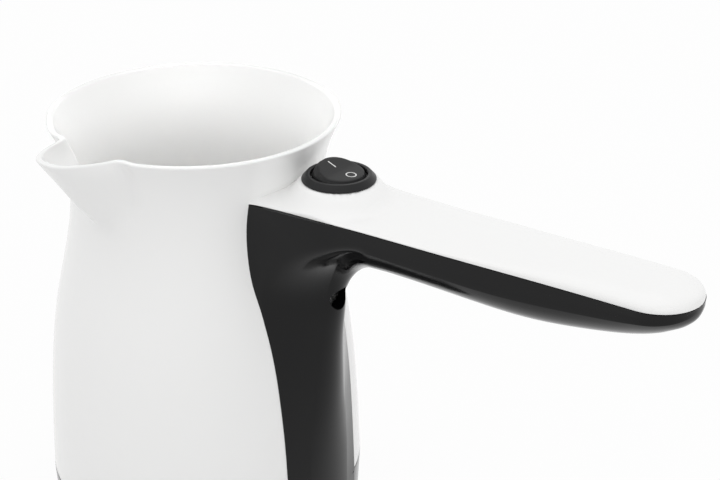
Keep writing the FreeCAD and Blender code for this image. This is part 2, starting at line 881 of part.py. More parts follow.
def make_block_screws():
    screws = []
    top = foot_height + housing_floor + block_height - 1.0
    low = pole_height + block_insert_radius
    start = block_place[0] - 0.5 * block_width
    for place in pole_places():
        for share in (0.27, 0.73):
            across = start + share * block_width
            body = cylinder(block_screw_radius, (across, place, low), top - low)
            slot_low = (across - block_screw_radius, place - 0.25, top - 0.6)
            screws.append(body.cut(box(slot_low, (across + block_screw_radius, place + 0.25, top))))
    return Part.makeCompound(screws)


# Handle shell and cover.

def section(points):
    """Closed wire through side points, with the underside as an arc between the third and fourth."""
    far_top, far_knee, far_edge, middle, near_edge, near_knee, near_top = points
    return Part.Wire([
        line(far_top, far_knee),
        line(far_knee, far_edge),
        arc(far_edge, middle, near_edge),
        line(near_edge, near_knee),
        line(near_knee, near_top),
        line(near_top, far_top),
    ])


def oriented_section(back, inward, edge, knee, top):
    """Section of the handle: its back point, the direction inwards, then (half width, depth) pairs."""
    def place(pair, side):
        return back + inward * pair[1] + vec(0, side * pair[0], 0)
    return section([
        place(top, -1), place(knee, -1), place(edge, -1), back, place(edge, 1), place(knee, 1), place(top, 1),
    ])


def column_section(row, inset):
    height, back, half_back, depth, half_side = row
    radius = pot_radius(base_height + height)
    side_x = math.sqrt(radius ** 2 - half_side ** 2)
    edge_x = back - depth
    run = edge_x - side_x
    slope = (half_side - half_back) / run
    shift = inset * math.sqrt(1 + slope ** 2)
    start = vec(back - inset, 0, base_height + height)
    edge = (half_back - 0.45 * inset, depth)
    knee = (half_side - shift, back - side_x - column_step - inset)
    top = (half_side + 0.3 - shift, back - side_x + 8.0 - inset)
    return oriented_section(start, vec(-1, 0, 0), edge, knee, top)


def bend_section(row, inset):
    angle, half_back, depth, half_side, side_depth = row
    turn = math.radians(angle)
    inward = vec(-math.cos(turn), 0, math.sin(turn))
    last = column_shape[-1]
    centre = vec(last[1] + bend_radius, 0, base_height + last[0])
    back = centre + inward * (bend_radius + inset)
    reach_x = (centre.x - 28.0) / max(math.cos(turn), 0.01)
    reach_z = (parting_height + 22.0 - last[0]) / math.sin(turn)
    top_depth = min(reach_x, reach_z) - bend_radius - inset
    edge = (half_back - 0.6 * inset, depth)
    knee = (half_side - inset, side_depth)
    top = (half_side + 0.8 - inset, top_depth)
    return oriented_section(back, inward, edge, knee, top)


def upright_section(place, half, low, edge_height, inset):
    """Section of the arm across its length, running past the parting plane."""
    back = vec(place, 0, base_height + low + inset)
    edge = (half - inset, edge_height - low)
    knee = (half - inset, edge_height - low + 2.5)
    top = (half - inset, parting_height + 22.0 - low - inset)
    return oriented_section(back, vec(0, 0, 1), edge, knee, top)


def tip_centre():
    return arm_shape[-1][0]


def tip_section(row, inset):
    angle, low_share, edge_share = row
    turn = math.radians(angle)
    radius = tip_radius - inset
    place = tip_centre() + radius * math.sin(turn)
    deep = parting_height - arm_shape[-1][2]
    side = parting_height - arm_shape[-1][3]
    low = parting_height - deep * low_share
    edge_height = parting_height - side * edge_share
    back = vec(place, 0, base_height + low + inset)
    half = radius * math.cos(turn)
    edge = (half, edge_height - low)
    knee = (half, edge_height - low + 1.2)
    top = (half, parting_height + 22.0 - low - inset)
    return oriented_section(back, vec(0, 0, 1), edge, knee, top)


def handle_solid(inset):
    """Column, bend and arm in one loft, closed on the pot side and well above the parting plane."""
    first = cavity_row if inset else 0
    arm = [upright_section(row[0], row[1], row[2], row[3], inset) for row in arm_shape]
    arm += [tip_section(row, inset) for row in tip_shape]
    root = [column_section(row, inset) for row in column_shape[first:]]
    root += [bend_section(row, inset) for row in bend_shape]
    root.append(arm[0])
    pieces = [Part.makeLoft(wires, True, False, False, 3) for wires in (root, arm)]
    return pieces[0].fuse(pieces[1])


parting_level = base_height + parting_height


def make_handle_shell():
    outer = handle_solid(0.0)
    inner = handle_solid(handle_wall)
    shell = outer.cut(inner)
    boss_start = body_boss_end + 0.1
    recess = cylinder(screw_recess_radius, (screw_recess_floor, 0, screw_level), 12.0, (1, 0, 0))
    boss = cylinder(handle_boss_radius, (boss_start, 0, screw_level), 10.0, (1, 0, 0)).common(outer)
    above = box((-60, -60, parting_level), (260, 60, parting_level + 60))
    below = box((-60, -60, -40), (260, 60, base_height + 0.02))
    shell = shell.fuse(boss).cut([above, below, pot_solid(-handle_gap), recess])
    shell = shell.cut(cylinder(handle_screw_radius + 0.1, (40, 0, screw_level), 20.0, (1, 0, 0)))
    hooks = []
    for side in (-1, 1):
        near = min(side * hook_near, side * hook_far)
        low = (hook_inner, near, base_height + hook_low)
        hook_high = base_height + hook_low + hook_thickness
        hooks.append(box(low, (bottom_radius + 0.6, near + hook_far - hook_near, hook_high)))
    shell = shell.fuse(hooks)
    pieces = sorted(shell.Solids, key=lambda solid: solid.Volume)
    return pieces[-1]


def crown_points(place, half, height, low):
    """Half-round outline of the cover across its length, from one side over the crown to the other."""
    points = []
    steps = 12
    for step in range(steps + 1):
        angle = math.pi * step / steps
        across = math.copysign(abs(math.cos(angle)) ** (2 / crown_power), math.cos(angle))
        up = math.sin(angle) ** (2 / crown_power) if 0 < step < steps else 0.0
        points.append(vec(place, half * across, low + height * up))
    return points


def crown_section(place, half, height, low, drop):
    points = crown_points(place, half, height, low)
    curve = Part.BSplineCurve()
    curve.interpolate(points)
    first = points[0]
    last = points[-1]
    return Part.Wire([
        curve.toShape(),
        line(last, last - vec(0, 0, drop)),
        line(last - vec(0, 0, drop), first - vec(0, 0, drop)),
        line(first - vec(0, 0, drop), first),
    ])


def arm_half_width(place):
    """Half width of the arm between its stations, and of the wider root towards the pot."""
    rows = [(30.0, 19.5), (57.4, 17.2)] + [(row[0], row[1]) for row in arm_shape]
    return between(rows, place)


def between(rows, place):
    for first, second in zip(rows, rows[1:]):
        if place <= second[0]:
            share = (place - first[0]) / (second[0] - first[0])
            return first[1] + share * (second[1] - first[1])
    return rows[-1][1]


def cover_solid(inset, drop):
    side = 1.6
    wires = []
    for place, height in crown_shape:
        low = base_height + parting_height + side
        half = arm_half_width(place) - inset
        wires.append(crown_section(place, half, height - side - inset, low, side + drop))
    last_height = crown_shape[-1][1]
    for row in tip_shape:
        turn = math.radians(row[0])
        radius = tip_radius - inset
        place = tip_centre() + radius * math.sin(turn)
        height = last_height * (0.35 + 0.65 * math.cos(turn))
        low = base_height + parting_height + side * math.cos(turn) + 0.2
        half = radius * math.cos(turn)
        rise = max(height - side - inset, 0.6)
        wires.append(crown_section(place, half, rise, low, low - base_height - parting_height + drop))
    return Part.makeLoft(wires, True, False, False, 3)


def make_handle_cover():
    outer = cover_solid(0.0, 0.0)
    seat = base_height + switch_seat
    pad = Part.makeCone(pad_low_radius, pad_top_radius, pad_drop, vec(switch_place, 0, seat - pad_drop))
    outer = outer.fuse(pad)
    inner = cover_solid(cover_wall, 1.0)
    shell = outer.cut(inner)
    tabs = []
    tab_limit = outer.fuse(box((80, -13, parting_level - 9), (160, 13, parting_level + 0.1)))
    for place in tab_places:
        half = arm_half_width(place) - handle_wall - 0.4
        for side in (-1, 1):
            outer_face = side * half
            inner_face = side * (half - tab_thickness)
            low = (place - 0.5 * tab_length, min(outer_face, inner_face), parting_level - tab_drop)
            high = (place + 0.5 * tab_length, max(outer_face, inner_face), parting_level + 3.2)
            tabs.append(box(low, high).common(tab_limit))
    shell = shell.fuse(tabs)
    hole = Part.makeCylinder(barrel_radius + panel_clearance, 30, vec(switch_place, 0, seat - 20))
    under = box((-60, -60, parting_level - 20), (260, 60, parting_level + 0.02))
    under = under.cut(box((80, -13, parting_level - 30), (160, 13, parting_level + 1)))
    return shell.cut([hole, under, pot_solid(-cover_gap)])


def make_handle_screw():
    start = (screw_recess_floor + handle_screw_head_height, 0, screw_level)
    length = screw_recess_floor - screw_hole_end - 0.5
    head = (handle_screw_head_radius, handle_screw_head_height)
    return screw(start, *head, handle_screw_radius, length, (-1, 0, 0))


def make_screw_insert():
    start = (body_boss_end - insert_length, 0, screw_level)
    return cylinder(insert_radius, start, insert_length, (1, 0, 0)).cut(
        cylinder(handle_screw_radius, start, insert_length, (1, 0, 0)))


# Rocker switch.

seat_level = base_height + switch_seat
bezel_top = seat_level + bezel_height
pivot = (switch_place, 0.0, bezel_top - bezel_height - pivot_drop)
barrel_low = seat_level - barrel_depth
lever_pivot = (switch_place, 0.0, base_height + lever_height)


def make_switch_housing():
    axis_low = vec(switch_place, 0, barrel_low)
    bezel = Part.makeCylinder(bezel_radius, bezel_height, vec(switch_place, 0, seat_level))
    bezel = bezel.makeFillet(bezel_round, [bezel.Edges[0]])
    barrel = Part.makeCylinder(barrel_radius, barrel_depth + 0.5, axis_low)
    hollow = Part.makeCylinder(opening_radius, 40, vec(switch_place, 0, barrel_low + switch_floor))
    hole_radius = rocker_pin_radius + pin_clearance
    hole_start = (switch_place, -rocker_pin_end - 0.1, pivot[2])
    holes = cylinder(hole_radius, hole_start, 2 * rocker_pin_end + 0.2, (0, 1, 0))
    cuts = [hollow, holes]
    for place in (switch_place, switch_place + contact_place):
        low = (place - 0.5 * blade_thickness, -0.5 * blade_width, barrel_low - 1)
        high = (place + 0.5 * blade_thickness, 0.5 * blade_width, barrel_low + switch_floor + 1)
        cuts.append(box(low, high))
    return fuse([bezel, barrel]).cut(cuts)


def make_switch_rocker():
    """Truncated ball with two facets, a stem below and two pins, drawn level and then tilted to off."""
    centre = vec(*pivot)
    ball = Part.makeSphere(rocker_radius, centre)
    low = box((pivot[0] - 20, -20, pivot[2] - 20), (pivot[0] + 20, 20, pivot[2] - rocker_low))
    hollow = Part.makeSphere(rocker_radius - rocker_wall, centre)
    roof = box((pivot[0] - 20, -20, pivot[2] + rocker_top - 1.6), (pivot[0] + 20, 20, pivot[2] + 30))
    skin = ball.cut([low, hollow.cut(roof)])
    stem = Part.makeCylinder(stem_radius, stem_length + rocker_top - 1.0, centre - vec(0, 0, stem_length))
    pins = cylinder(rocker_pin_radius, (pivot[0], -rocker_pin_end, pivot[2]), 2 * rocker_pin_end, (0, 1, 0))
    pins = pins.cut(Part.makeSphere(rocker_radius - rocker_wall, centre))
    body = fuse([skin, stem, pins])
    rise = math.tan(math.radians(rocker_facet)) * 20.0
    top = [
        vec(pivot[0], -20, pivot[2] + rocker_top),
        vec(pivot[0] + 20, -20, pivot[2] + rocker_top + rise),
        vec(pivot[0] + 20, -20, pivot[2] + 40),
        vec(pivot[0] - 20, -20, pivot[2] + 40),
        vec(pivot[0] - 20, -20, pivot[2] + rocker_top + rise),
    ]
    above = extrude(top, vec(0, 40, 0))
    bore_length = stem_length + rocker_top - 2.4
    bore = Part.makeCylinder(plunger_radius + plunger_clearance, bore_length, centre - vec(0, 0, stem_length))
    body = body.cut([above, bore])
    return about(body, pivot, (0, 1, 0), rocker_tilt)


def tilted(shape):
    return about(shape, pivot, (0, 1, 0), rocker_tilt)


def make_switch_plunger():
    low = vec(pivot[0], 0, pivot[2] - plunger_tip + plunger_radius)
    body = Part.makeCylinder(plunger_radius, plunger_length - plunger_radius, low)
    return tilted(fuse([body, Part.makeSphere(plunger_radius, low)]))


def helix_wire(start, radius, rise, turns):
    """Unbroken climb made of quarter-turn arcs."""
    edges = []
    quarters = 4 * turns

    def point(step):
        angle = 0.5 * math.pi * step
        return start + vec(radius * math.cos(angle), radius * math.sin(angle), rise * step / quarters)
    for step in range(quarters):
        edges.append(arc(point(step), point(step + 0.5), point(step + 1)))
    return Part.Wire(edges)


def make_plunger_spring():
    low = pivot[2] - plunger_tip + plunger_length + 0.3
    high = pivot[2] + rocker_top - 2.4 - 0.3
    start = vec(pivot[0], 0, low)
    wire = helix_wire(start, spring_radius, high - low, spring_turns)
    climb = vec(0, 2 * math.pi * spring_radius * spring_turns, high - low)
    ring = Part.Wire([Part.Circle(start + vec(spring_radius, 0, 0), climb, spring_wire).toShape()])
    gap = (high - low) / spring_turns - 2 * spring_wire
    print("plunger spring: least gap between turns %.2f mm" % gap)
    return tilted(wire.makePipeShell([ring], True, False))


def make_contact_lever():
    centre = vec(*lever_pivot)
    low = (centre.x - lever_half_length, -0.5 * lever_width, centre.z)
    strip = box(low, (centre.x + lever_half_length, 0.5 * lever_width, centre.z + lever_thickness))
    rivet_start = (centre.x + contact_place, 0, centre.z - 0.5)
    rivet = cylinder(contact_radius, rivet_start, 0.5)
    return about(fuse([strip, rivet]), lever_pivot, (0, 1, 0), -lever_tilt)


def make_switch_terminals():
    level = base_height + blade_low
    middle_low = (switch_place - 0.5 * blade_thickness, -0.5 * blade_width, level)
    middle_top = lever_pivot[2] - contact_gap - 0.1
    middle_high = (switch_place + 0.5 * blade_thickness, 0.5 * blade_width, middle_top)
    middle = box(middle_low, middle_high)
    place = switch_place + contact_place
    closed = contact_place * math.sin(math.radians(lever_tilt)) + 0.5 + contact_gap
    rivet_top = lever_pivot[2] - closed - 0.15
    side_low = (place - 0.5 * blade_thickness, -0.5 * blade_width, level)
    side = box(side_low, (place + 0.5 * blade_thickness, 0.5 * blade_width, rivet_top - 0.3))
    rivet = cylinder(contact_radius, (place, 0, rivet_top - 0.5), 0.5)
    return Part.makeCompound([middle, fuse([side, rivet])])


def make_switch_receptacles():
    """Right-angled receptacles: a flat sleeve on each blade and a barrel pointing sideways."""
    sleeves = []
    top = barrel_low - 0.4
    low_level = base_height + blade_low - 0.3
    for place, side in ((switch_place, -1), (switch_place + contact_place, 1)):
        low = (place - 0.5 * receptacle_thickness, -0.5 * receptacle_width, low_level)
        sleeve = box(low, (place + 0.5 * receptacle_thickness, 0.5 * receptacle_width, top))
        level = 0.5 * (low_level + top)
        start = (place, side * 0.5 * receptacle_width, level)
        barrel = cylinder(barrel_crimp_radius, start, receptacle_barrel, (0, side, 0))
        sleeves.append(fuse([sleeve, barrel]))
    return Part.makeCompound(sleeves).cut(make_switch_terminals())


# Leads.

def lead(name, points, radius=lead_radius):
    """Round lead along straight runs joined by arcs as large as the runs allow."""
    corners = [vec(*point) for point in points]
    edges = []
    start = corners[0]
    least = 1000.0
    for before, corner, after in zip(corners, corners[1:], corners[2:]):
        back = (before - corner).normalize()
        ahead = (after - corner).normalize()
        turn = math.pi - back.getAngle(ahead)
        cut = 0.45 * min((before - corner).Length, (after - corner).Length)
        bend = cut / math.tan(0.5 * turn)
        least = min(least, bend)
        first = corner + back * cut
        last = corner + ahead * cut
        middle = corner + (back + ahead).normalize() * (bend / math.cos(0.5 * turn) - bend)
        edges.append(line(start, first))
        edges.append(arc(first, middle, last))
        start = last
    edges.append(line(start, corners[-1]))
    path = Part.Wire(edges)
    direction = corners[1] - corners[0]
    profile = Part.Wire([Part.Circle(corners[0], direction, radius).toShape()])
    tube = path.makePipeShell([profile], True, False)
    ideal = math.pi * radius ** 2 * path.Length
    share = tube.Volume / ideal
    print("%s: tightest arc %.1f mm, volume over section times length %.4f" % (name, least, share))
    return tube


def switch_lead_level():
    return 0.5 * (base_height + blade_low - 0.3 + barrel_low - 0.4)


def column_route(side):
    """Points of a lead from the base up the channel and the column, past the screw boss."""
    points = [(50.0, 1.7, 21.5)]
    for height, across in ((33.0, 1.7), (45.0, 1.7), (56.0, 1.8)):
        points.append((pot_radius(height) - channel_depth + lead_radius + 0.55, across, height))
    points += [(48.2, 1.9, 62.5), (50.6, 2.4, 71.5), (49.2, 5.8, 80.5), (46.9, 8.1, 91.0), (47.6, 7.8, 101.5)]
    return [(x, side * y, z) for x, y, z in points]


def make_live_lead():
    block_face = block_place[0] - 0.5 * block_width
    end_y = 0.5 * receptacle_width + receptacle_barrel
    level = switch_lead_level()
    place = switch_place + contact_place
    return lead("live lead", [
        (block_face + 1, pole_places()[2], pole_height),
        (22.5, 8.2, 8.8), (20.5, 7.0, 15.5), (29.0, 3.5, 18.6), (41.0, 1.9, 19.2),
    ] + column_route(1) + [
        (place - 4.5, 9.6, level - 2.0), (place, end_y + 4.9, level), (place, end_y, level),
    ])


def thermostat_lead_end():
    return thermostat_body_radius + 0.6 + receptacle_length + receptacle_barrel


def make_switched_lead():
    level = thermostat_blade_level + 0.5 * blade_thickness
    start_y = 0.5 * receptacle_width + receptacle_barrel
    level_up = switch_lead_level()
    return lead("switched lead", [
        (switch_place, -start_y, level_up), (switch_place, -start_y - 5.3, level_up),
        (switch_place - 4.0, -start_y - 4.2, level_up - 5.2),
    ] + column_route(-1)[::-1] + [
        (41.0, -2.2, 19.2), (28.0, -5.0, 17.6), (17.5, -13.0, 14.0), (8.0, -24.5, 14.2),
        (0, -thermostat_lead_end() - 4.6, level), (0, -thermostat_lead_end(), level),
    ])


def make_heater_lead():
    end_y = thermostat_lead_end()
    level = thermostat_blade_level + 0.5 * blade_thickness
    pin = pin_places()[0]
    pin_low = pin.z - pin_length
    return lead("heater lead", [
        (0, end_y, level), (0, end_y + 5.0, level), (6.0, end_y + 9.0, 11.5), (17.0, 24.0, 7.2),
        (pin.x, pin.y, 6.6), (pin.x, pin.y, pin_low),
    ])


def make_fuse_lead():
    pin = pin_places()[1]
    pin_low = pin.z - pin_length
    end = fuse_place[0] + 0.5 * sleeve_length
    return lead("fuse lead", [
        (end, fuse_place[1], fuse_level), (end + 6.0, fuse_place[1] - 0.2, fuse_level - 0.6),
        (end + 10.5, fuse_place[1] - 0.8, fuse_level - 9.0), (end + 12.2, fuse_place[1] - 1.2, 7.6),
        (pin.x, pin.y, 7.2), (pin.x, pin.y, pin_low),
    ])


def make_neutral_lead():
    block_face = block_place[0] - 0.5 * block_width
    end = fuse_place[0] - 0.5 * sleeve_length
    return lead("neutral lead", [
        (block_face + 1, pole_places()[0], pole_height),
        (22.0, -7.6, 8.0), (9.0, -12.5, 7.4), (-4.0, -18.5, 7.8), (-13.5, -18.0, 11.0),
        (end - 6.6, fuse_place[1] - 0.6, fuse_level - 6.0), (end - 5.2, fuse_place[1], fuse_level - 0.4),
        (end, fuse_place[1], fuse_level),
    ])


def make_earth_lead():
    block_face = block_place[0] - 0.5 * block_width
    return lead("earth lead", [
        (block_face + 1, pole_places()[1], pole_height),
        (22.0, 0.4, 7.6), (10.0, 5.0, 6.4), (0.5, 15.0, 6.2), (-2.0, 29.0, 6.8), (-1.0, 41.0, 8.4),
        (0, earth_tab_place, earth_tab_low - 6.0), (0, earth_tab_place, earth_tab_low),
    ])


earth_tab_place = 46.0
earth_tab_length = 6.5
earth_tab_low = clamp_low - earth_tab_length


def make_earth_tab():
    low = (-2.4, earth_tab_place - 0.4, earth_tab_low)
    blade = box(low, (2.4, earth_tab_place + 0.4, clamp_low))
    foot_low = (-2.4, earth_tab_place - 0.4, clamp_low - 0.8)
    foot = box(foot_low, (2.4, earth_tab_place + 3.0, clamp_low))
    return fuse([blade, foot])


def save(name, shape):
    solids = len(shape.Solids)
    state = "ok" if shape.isValid() else "INVALID"
    print("%-24s solids %d  volume %9.1f  %s" % (name, solids, shape.Volume, state))
    shape.exportStep("parts/%s.step" % name)


def main():
    os.makedirs("parts", exist_ok=True)
    save("body_shell", make_body_shell())
    save("plate_seal", make_plate_seal())
    save("heating_plate", make_heating_plate())
    save("clamp_ring", make_clamp_ring())
    save("clamp_screws", make_clamp_screws())
    save("heat_spreader", make_heat_spreader())
    save("heater_element", make_heater_element())
    save("heater_pins", make_heater_pins())
    save("heater_beads", make_heater_beads())
    save("thermostat_cap", make_thermostat_cap())
    save("thermostat_body", make_thermostat_body())
    save("thermostat_blades", Part.makeCompound(make_thermostat_blades()))
    save("thermostat_receptacles", make_thermostat_receptacles())
    save("thermostat_bracket", make_thermostat_bracket())
    save("bracket_screws", make_bracket_screws())
    save("thermal_fuse", make_thermal_fuse())
    save("fuse_sleeve", make_fuse_sleeve())
    save("earth_tab", make_earth_tab())
    save("base_housing", make_base_housing())
    save("base_screws", make_base_screws())
    save("rubber_feet", make_rubber_feet())
    save("cord_bush", make_cord_bush())
    save("terminal_block", make_terminal_block())
    save("block_inserts", make_block_inserts())
    save("block_screws", make_block_screws())
    save("handle_shell", make_handle_shell())
    save("handle_cover", make_handle_cover())
    save("handle_screw", make_handle_screw())
    save("screw_insert", make_screw_insert())
    save("switch_housing", make_switch_housing())
    save("switch_rocker", make_switch_rocker())
    save("switch_plunger", make_switch_plunger())
    save("plunger_spring", make_plunger_spring())
    save("contact_lever", make_contact_lever())
    save("switch_terminals", make_switch_terminals())
    save("switch_receptacles", make_switch_receptacles())
    save("live_lead", make_live_lead())
    save("switched_lead", make_switched_lead())
    save("heater_lead", make_heater_lead())
    save("fuse_lead", make_fuse_lead())
    save("neutral_lead", make_neutral_lead())
    save("earth_lead", make_earth_lead())


if __name__ == "__main__":
    main()
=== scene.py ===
import math

import bmesh
import bpy
import numpy as np
from mathutils import Matrix, Vector


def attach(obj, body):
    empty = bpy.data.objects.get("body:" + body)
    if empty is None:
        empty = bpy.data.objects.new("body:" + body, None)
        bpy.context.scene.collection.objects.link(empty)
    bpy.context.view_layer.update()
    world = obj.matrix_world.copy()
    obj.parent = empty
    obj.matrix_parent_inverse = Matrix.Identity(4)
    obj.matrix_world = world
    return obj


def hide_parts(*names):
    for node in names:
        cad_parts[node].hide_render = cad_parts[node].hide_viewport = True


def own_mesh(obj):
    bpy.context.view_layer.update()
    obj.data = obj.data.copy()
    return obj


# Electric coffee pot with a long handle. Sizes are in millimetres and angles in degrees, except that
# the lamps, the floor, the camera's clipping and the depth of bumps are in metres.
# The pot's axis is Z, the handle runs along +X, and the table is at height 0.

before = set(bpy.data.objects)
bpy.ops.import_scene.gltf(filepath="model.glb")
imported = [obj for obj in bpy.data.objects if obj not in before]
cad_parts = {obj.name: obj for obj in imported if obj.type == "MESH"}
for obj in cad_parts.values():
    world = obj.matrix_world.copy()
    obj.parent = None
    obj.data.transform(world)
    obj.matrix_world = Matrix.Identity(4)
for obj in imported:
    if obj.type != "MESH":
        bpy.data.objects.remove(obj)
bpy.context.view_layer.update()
print("frame loaded:", len(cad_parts), "nodes")

mm = 0.001
weldDistance = 0.0005
cornerSteps = 4


# Helpers for smooth tables and for meshes

def smoothLine(rows, column=1):
    # natural cubic line through (key, value, ...) rows
    keys = np.array([row[0] for row in rows], float)
    values = np.array([row[column] for row in rows], float)
    count = len(keys)
    steps = np.diff(keys)
    grid = np.zeros((count, count))
    right = np.zeros(count)
    grid[0, 0] = grid[-1, -1] = 1.0
    for i in range(1, count - 1):
        grid[i, i - 1] = steps[i - 1]
        grid[i, i] = 2 * (steps[i - 1] + steps[i])
        grid[i, i + 1] = steps[i]
        right[i] = 6 * ((values[i + 1] - values[i]) / steps[i] - (values[i] - values[i - 1]) / steps[i - 1])
    bend = np.linalg.solve(grid, right)

    def value(key):
        key = min(max(key, keys[0]), keys[-1])
        i = min(int(np.searchsorted(keys, key, side="right")) - 1, count - 2)
        t = key - keys[i]
        d = steps[i]
        slope = (values[i + 1] - values[i]) / d - d * (2 * bend[i] + bend[i + 1]) / 6
        return float(values[i] + t * slope + t * t * bend[i] / 2 + t ** 3 * (bend[i + 1] - bend[i]) / (6 * d))
    return value


def easyLine(rows, column=1):
    # smooth line through rows that never overshoots them
    keys = [row[0] for row in rows]
    values = [row[column] for row in rows]
    last = len(keys) - 1
    rises = [(values[i + 1] - values[i]) / (keys[i + 1] - keys[i]) for i in range(last)]
    slopes = [rises[0]]
    for i in range(1, last):
        before, after = rises[i - 1], rises[i]
        slopes.append(0.0 if before * after <= 0 else 2 * before * after / (before + after))
    slopes.append(rises[-1])

    def value(key):
        key = min(max(key, keys[0]), keys[-1])
        i = 0
        while i < last - 1 and key > keys[i + 1]:
            i += 1
        d = keys[i + 1] - keys[i]
        t = (key - keys[i]) / d
        first = values[i] * (1 + 2 * t) * (1 - t) ** 2 + slopes[i] * d * t * (1 - t) ** 2
        return first + values[i + 1] * t * t * (3 - 2 * t) + slopes[i + 1] * d * t * t * (t - 1)
    return value


def softMax(a, b, reach):
    near = max(reach - abs(a - b), 0.0) / reach
    return max(a, b) + near * near * reach / 4


def ease(value):
    value = min(max(value, 0.0), 1.0)
    return value * value * (3 - 2 * value)


def mixed(a, b, share):
    return a + (b - a) * share


def sweepRings(rings):
    # rings: lists of points, all of one length; a circle is pulled along them, and both ends are closed
    bm = bmesh.new()
    bmesh.ops.create_circle(bm, cap_ends=False, radius=1.0, segments=len(rings[0]))
    place = bm.verts.layers.int.new("place")
    bm.verts.ensure_lookup_table()
    for index, vert in enumerate(bm.verts):
        vert[place] = index
    edges = list(bm.edges)
    for number, ring in enumerate(rings):
        if number:
            made = bmesh.ops.extrude_edge_only(bm, edges=edges)["geom"]
            edges = [item for item in made if isinstance(item, bmesh.types.BMEdge)]
        verts = {vert for edge in edges for vert in edge.verts}
        for vert in verts:
            vert.co = ring[vert[place]]
        if number == 0:
            bmesh.ops.contextual_create(bm, geom=edges)
    bmesh.ops.contextual_create(bm, geom=edges)
    bm.verts.layers.int.remove(bm.verts.layers.int["place"])
    return bm


def spinProfile(points, steps, closed=False):
    # points: (radius, height) from one end to the other
    bm = bmesh.new()
    verts = [bm.verts.new((radius, 0.0, height)) for radius, height in points]
    edges = [bm.edges.new(pair) for pair in zip(verts, verts[1:])]
    if closed:
        edges.append(bm.edges.new((verts[-1], verts[0])))
    bmesh.ops.spin(bm, geom=verts + edges, cent=(0, 0, 0), axis=(0, 0, 1), dvec=(0, 0, 0),
                   angle=2 * math.pi, steps=steps, use_merge=True, use_duplicate=False)
    bmesh.ops.remove_doubles(bm, verts=bm.verts, dist=weldDistance)
    return bm


def roundedCorner(corner, before, after, radius, steps=cornerSteps):
    # arc that rounds one corner of a profile
    toBefore = (Vector(before) - Vector(corner)).normalized()
    toAfter = (Vector(after) - Vector(corner)).normalized()
    half = toBefore.angle(toAfter) / 2
    cut = radius / math.tan(half)
    centre = Vector(corner) + (toBefore + toAfter).normalized() * (radius / math.sin(half))
    start = Vector(corner) + toBefore * cut - centre
    end = Vector(corner) + toAfter * cut - centre
    arc = []
    for step in range(steps + 1):
        share = step / steps
        spoke = start.lerp(end, share).normalized() * radius
        arc.append(tuple(centre + spoke))
    return arc


def roundedProfile(corners):
    # corners: (radius, height, rounding)
    points = []
    for index, (x, z, rounding) in enumerate(corners):
        if rounding and 0 < index < len(corners) - 1:
            before = corners[index - 1][:2]
            after = corners[index + 1][:2]
            points += roundedCorner((x, z), before, after, rounding)
        else:
            points.append((x, z))
    return points


def newObject(bm, name):
    mesh = bpy.data.meshes.new(name)
    bm.to_mesh(mesh)
    bm.free()
    made = bpy.data.objects.new(name, mesh)
    bpy.context.scene.collection.objects.link(made)
    return made


def smoothSkin(mesh, sharpAngle):
    for polygon in mesh.polygons:
        polygon.use_smooth = True
    mesh.set_sharp_from_angle(angle=math.radians(sharpAngle))


def finishPiece(bm, name, body, nodes, sharpAngle):
    bmesh.ops.remove_doubles(bm, verts=bm.verts, dist=weldDistance)
    bmesh.ops.recalc_face_normals(bm, faces=bm.faces)
    bmesh.ops.scale(bm, vec=(mm, mm, mm), verts=bm.verts)
    piece = newObject(bm, name)
    smoothSkin(piece.data, sharpAngle)
    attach(piece, body)
    if nodes:
        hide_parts(*nodes)
    return piece


# Camera, floor, backdrop and lamps

view = {
    "lens": 90.0,
    "place": (358.5, -405.3, 347.6),
    "forward": (-0.5309, 0.7339, -0.4239),
    "sensor": 36.0,
    "clip": (0.01, 50.0),
    "background": 1.02,
    "surround": 0.88,
    # light has to bounce often inside the white pot
    "bounces": 12,
}

cameraData = bpy.data.cameras.new("camera")
cameraData.lens = view["lens"]
cameraData.sensor_width = view["sensor"]
cameraData.clip_start, cameraData.clip_end = view["clip"]
camera = bpy.data.objects.new("camera", cameraData)
camera.location = Vector(view["place"]) * mm
camera.rotation_euler = Vector(view["forward"]).to_track_quat("-Z", "Y").to_euler()
bpy.context.scene.collection.objects.link(camera)
bpy.context.scene.camera = camera
bpy.context.scene.view_settings.view_transform = "Standard"
bpy.context.scene.cycles.diffuse_bounces = view["bounces"]


def addSeenRays(nodes, links):
    # 1 for rays that show the backdrop itself, or show it mirrored or through a clear piece
    path = nodes.new("ShaderNodeLightPath")
    value = path.outputs["Is Camera Ray"]
    for kind in ("Is Glossy Ray", "Is Transmission Ray"):
        either = nodes.new("ShaderNodeMath")
        either.operation = "MAXIMUM"
        links.new(value, either.inputs[0])
        links.new(path.outputs[kind], either.inputs[1])
        value = either.outputs[0]
    return value


def addBackground(nodes, strength):
    background = nodes.new("ShaderNodeBackground")
    background.inputs["Strength"].default_value = strength
    background.inputs["Color"].default_value = (1, 1, 1, 1)
    return background.outputs[0]


def buildWorld():
    world = bpy.data.worlds.new("studio")
    bpy.context.scene.world = world
    world.use_nodes = True
    nodes, links = world.node_tree.nodes, world.node_tree.links
    nodes.clear()
    seen = addSeenRays(nodes, links)
    choose = nodes.new("ShaderNodeMixShader")
    links.new(seen, choose.inputs["Fac"])
    links.new(addBackground(nodes, view["surround"]), choose.inputs[1])
    links.new(addBackground(nodes, view["background"]), choose.inputs[2])
    out = nodes.new("ShaderNodeOutputWorld")
    links.new(choose.outputs[0], out.inputs["Surface"])


buildWorld()

